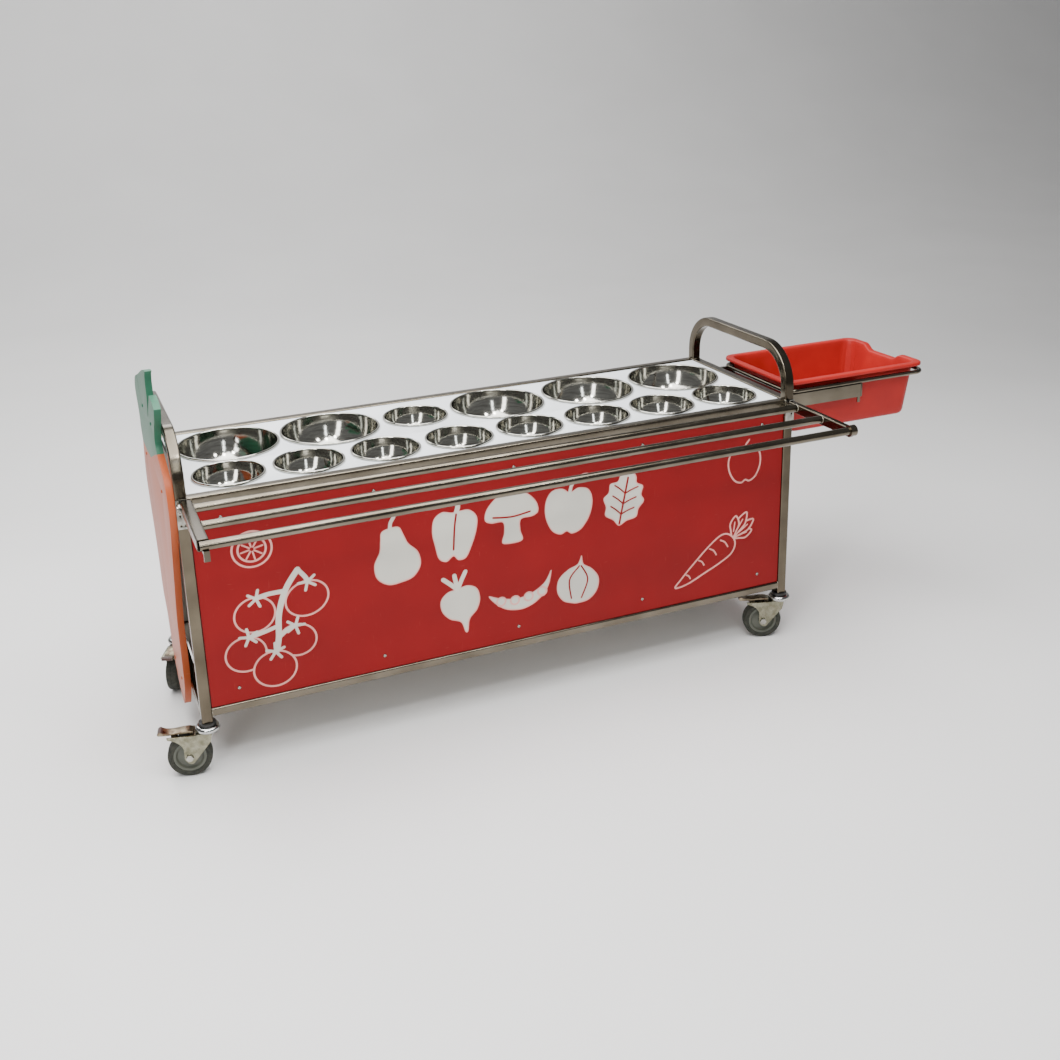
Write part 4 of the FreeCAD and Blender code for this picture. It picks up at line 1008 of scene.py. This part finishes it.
def turned_mesh(profile, steps=72):
    """Mesh from a closed profile of (radius, side) in millimetres, turned about the Z axis."""
    mesh = bpy.data.meshes.new("turned")
    count = len(profile)
    spots = []
    for n in range(steps):
        angle = 2 * math.pi * n / steps
        spots += [(r * math.cos(angle) / 1000, r * math.sin(angle) / 1000, s / 1000) for r, s in profile]
    faces = []
    for n in range(steps):
        for k in range(count):
            a, b = n * count + k, n * count + (k + 1) % count
            c, d = ((n + 1) % steps) * count + (k + 1) % count, ((n + 1) % steps) * count + k
            faces.append((a, b, c, d))
    mesh.from_pydata(spots, [], faces)
    outward(mesh)
    smooth(mesh, 35)
    return mesh


def mirrored(half_profile):
    """A closed profile from its half on the positive side, from the inside out and back."""
    return half_profile + [(r, -s) for r, s in reversed(half_profile)]


TYRE = mirrored([(37, 12.6), (38.5, 13.6), (40, 13.2), (41, 13.4), (43, 14.6), (45, 14.9), (47.4, 14.2),
                 (49.0, 12.6), (49.7, 10.4), (50, 6.0), (50, 1.6), (49.4, 1.2), (49.4, 0.4)])
HUB = mirrored([(5.05, 17.2), (8.6, 17.2), (9.6, 16.6), (10.2, 13), (11.2, 8.2), (13.5, 6.4), (17, 5.8),
                (24, 6.0), (28.0, 7.2), (30.2, 10.4), (31.2, 12.4), (32.4, 13.0), (35.8, 13.0), (36.9, 12.4)])


def wheel_part(name, profile, corner, finish, slot, node):
    axle = JOINTS["roll_" + corner]
    mesh = turned_mesh(profile)
    mesh.transform(Vector(axle["axis"]).to_track_quat("Z", "Y").to_matrix().to_4x4())
    mesh.transform(Matrix.Translation(axle["pos_m"]))
    return settle(piece_from(name, mesh, finish), "wheel_" + corner, slot, node)


for corner in CASTOR_CORNERS:
    wheel_part("tyre_" + corner, TYRE, corner, RUBBER, "tyre_dark", "castor_tyre_" + corner)
    wheel_part("wheel_centre_" + corner, HUB, corner, HUB_GREY, "hub_grey", "castor_hub_" + corner)


# ---- Red bin ----

BIN_MIDDLE = (1808.0, 241.0)
BIN_FLOOR, BIN_RIM = 534.0, 685.0
BIN_WALL = 3.0
BIN_FOOT = (191.5, 133.0)
BIN_MOUTH = (208.0, 145.0)
BIN_LIP = (223.0, 162.5)
WALL_CORNER, LIP_CORNER = 28.0, 32.0    # corner radii outside
SCOOP = (163.0, 326.0)                  # the dip in the far end's rim, front to back
SCOOP_RUN = (38.0, 32.0)                # its two slopes
SCOOP_DEPTH = 16.0
SCOOP_FROM = 12.0                       # the dip starts this far inside the foot's half length
RIDGE = 0.9                             # how far the fluted inside corners swell
TURN_CORNERS = ((1, -1), (1, 1), (-1, 1), (-1, -1))


def ring_points(half_x, half_y, corner, steps=10):
    """Points round a rectangle with round corners, and which way each faces."""
    def corner_spot(n, angle):
        side_x, side_y = TURN_CORNERS[n % 4]
        return (side_x * (half_x - corner) + corner * math.cos(angle),
                side_y * (half_y - corner) + corner * math.sin(angle))

    spots = []
    for n in range(4):
        for k in range(steps + 1):
            angle = math.radians(90 * n - 90 + 90 * k / steps)
            spots.append((corner_spot(n, angle), angle, k / steps))
        angle = math.radians(90 * n)
        start, end = spots[-1][0], corner_spot(n + 1, angle)
        run = 30 if n % 2 else 40
        for k in range(1, run):
            t = k / run
            between = (start[0] + (end[0] - start[0]) * t, start[1] + (end[1] - start[1]) * t)
            spots.append((between, angle, -1))
    return spots


def scoop_fall(back):
    """How far the far end's rim dips at a place, front to back."""
    if back < SCOOP[0] or back > SCOOP[1]:
        return 0.0
    if back < SCOOP[0] + SCOOP_RUN[0]:
        share = (back - SCOOP[0]) / SCOOP_RUN[0]
    elif back > SCOOP[1] - SCOOP_RUN[1]:
        share = (SCOOP[1] - back) / SCOOP_RUN[1]
    else:
        share = 1.0
    return SCOOP_DEPTH * (1 - math.cos(math.pi * share)) / 2


def bin_mesh():
    """Bin as one closed skin: inside floor, inside wall, lip, outside wall and underside."""
    def wall(up, inset):
        rise = (up - BIN_FLOOR) / (BIN_RIM - BIN_FLOOR)
        return (BIN_FOOT[0] + (BIN_MOUTH[0] - BIN_FOOT[0]) * rise - inset,
                BIN_FOOT[1] + (BIN_MOUTH[1] - BIN_FOOT[1]) * rise - inset)

    rings = []                 # half sizes, corner, height, how much of the dip it takes, ridged or not
    inside_floor = BIN_FLOOR + BIN_WALL
    inside_corner = WALL_CORNER - BIN_WALL
    for inset, up in ((14, 0), (8, 0.4), (4, 2.2), (1.2, 5.5), (0, 10)):
        half = wall(inside_floor + up, BIN_WALL + inset)
        rings.append((half, max(inside_corner - inset, 6), inside_floor + up, 0.0, 0.0))
    for n in range(1, 12):
        up = inside_floor + 10 + (BIN_RIM - 5 - inside_floor - 10) * n / 11
        rings.append((wall(up, BIN_WALL), inside_corner, up, max(0.0, (n - 7) / 4),
                      1.0 if 1 < n < 10 else 0.5))
    top = wall(BIN_RIM, BIN_WALL)
    for out, drop in ((0.7, 2.0), (2.4, 0.4), (4.5, 0.0)):
        rings.append(((top[0] + out, top[1] + out), inside_corner + out, BIN_RIM - drop, 1.0, 0.0))
    for inset, drop in ((4.2, 0.0), (2.0, 0.5), (0.6, 1.9), (0.0, 4.2), (0.0, 7.6), (0.4, 8.7),
                        (1.5, 9.0), (2.6, 8.6), (3.0, 7.6), (3.0, 4.4), (4.0, 3.2)):
        rings.append(((BIN_LIP[0] - inset, BIN_LIP[1] - inset), LIP_CORNER - inset, BIN_RIM - drop, 1.0, 0.0))
    under = wall(BIN_RIM - 3, 0)
    rings.append(((under[0] + 1.5, under[1] + 1.5), WALL_CORNER + 1, BIN_RIM - 3, 1.0, 0.0))
    for n in range(11):
        up = BIN_RIM - 5 + (BIN_FLOOR + 12 - BIN_RIM + 5) * n / 10
        rings.append((wall(up, 0), WALL_CORNER, up, max(0.0, 1 - n / 4), 0.0))
    for inset, up in ((1.0, 6.5), (3.6, 2.6), (7.5, 0.5), (13, 0)):
        rings.append((wall(BIN_FLOOR + up, inset), max(WALL_CORNER - inset, 6), BIN_FLOOR + up, 0.0, 0.0))
    spots = []
    faces = []
    for half, corner, up, dip, ridged in rings:
        for (x, y), angle, share in ring_points(*half, corner):
            if ridged and share >= 0:
                swell = RIDGE * ridged * math.cos(share * 6 * math.pi)
                x, y = x + swell * math.cos(angle), y + swell * math.sin(angle)
            at_far_end = x > BIN_FOOT[0] - SCOOP_FROM
            fall = dip * scoop_fall(BIN_MIDDLE[1] + y) if at_far_end else 0.0
            spots.append(place(BIN_MIDDLE[0] + x, BIN_MIDDLE[1] + y, up - fall))
    count = len(spots) // len(rings)
    for r in range(len(rings) - 1):
        for k in range(count):
            a, b = r * count + k, r * count + (k + 1) % count
            faces.append((a, b, b + count, a + count))
    faces.append(tuple(range(count)))
    faces.append(tuple(range((len(rings) - 1) * count, len(rings) * count)))
    mesh = bpy.data.meshes.new("red_bin")
    mesh.from_pydata(spots, [], faces)
    outward(mesh)
    smooth(mesh, 30)
    return mesh


settle(piece_from("red_bin", bin_mesh(), BIN_RED), body_of("tub"), "tub_red", "tub")


# ---- Floor, lights and camera ----

def floor():
    """Pale floor that sweeps up into a wall far behind the cart."""
    near, bend, radius, top, reach = -9.0, 4.5, 5.0, 14.0, 16.0  # metres
    angles = [math.radians(90 * n / 24) for n in range(25)]
    sweep = [(bend + radius * math.sin(angle), radius - radius * math.cos(angle)) for angle in angles]
    profile = [(near, 0.0)] + sweep + [(bend + radius, top)]
    spots = [(side * reach, back, up) for back, up in profile for side in (-1, 1)]
    mesh = bpy.data.meshes.new("studio_floor")
    mesh.from_pydata(spots, [], [(n, n + 1, n + 3, n + 2) for n in range(0, len(spots) - 2, 2)])
    smooth(mesh, 40)
    pale = Finish("pale_floor")
    cloud = pale.noise(1.5, 2.0)
    pale.colour(pale.tint(cloud, (0.3, (0.84, 0.83, 0.82)), (0.7, (0.87, 0.86, 0.85))))
    pale.roughness(pale.span(cloud, 0.55, 0.65))
    piece_from("studio_floor", mesh, pale)


def soft_light(name, spot, target, size, power, warmth=(1, 1, 1)):
    lamp = bpy.data.lights.new(name, "AREA")
    lamp.shape = "RECTANGLE"
    lamp.size, lamp.size_y = size
    lamp.energy = power
    lamp.color = warmth
    light = object_from(name, lamp)
    light.location = spot
    light.rotation_euler = (Vector(target) - Vector(spot)).to_track_quat("-Z", "Y").to_euler()


floor()
soft_light("overhead_softbox", (-0.7, -0.1, 3.2), (-0.5, 0.0, 0.4), (3.8, 3.0), 275)
soft_light("tall_window_left", (-2.6, -2.6, 2.2), (0, 0, 0.6), (0.6, 2.2), 38)
soft_light("tall_window_front", (-0.6, -3.6, 2.6), (0, 0, 0.6), (0.3, 1.8), 16, (0.90, 0.96, 1.0))
for lamp_x in (-1.7, -0.5, 0.7):
    soft_light("ceiling_lamp", (lamp_x, -1.9, 2.9), (0, 0, 0.6), (0.26, 0.26), 9)
soft_light("back_window", (-1.2, 4.2, 3.4), (0, 0, 0.6), (2.4, 1.2), 60)
soft_light("wall_wash", (0.0, 3.6, 5.0), (0, 9.0, 3.0), (8.0, 2.0), 330)

world = bpy.data.worlds.new("studio")
world.use_nodes = True
backdrop = world.node_tree.nodes["Background"].inputs
backdrop["Color"].default_value = (0.78, 0.79, 0.80, 1)
backdrop["Strength"].default_value = 0.25
bpy.context.scene.world = world

lens = bpy.data.cameras.new("photograph_view")
lens.sensor_width = 36
lens.lens = 41.396
lens.shift_x = 0.0315
lens.shift_y = -0.1032
lens.clip_end = 60
camera = object_from("photograph_view", lens)
camera.location = place(-233.5, -2485.65, 1595.12)
camera.rotation_euler = [math.radians(angle) for angle in (72.110, 1.939, -21.899)]
bpy.context.scene.camera = camera
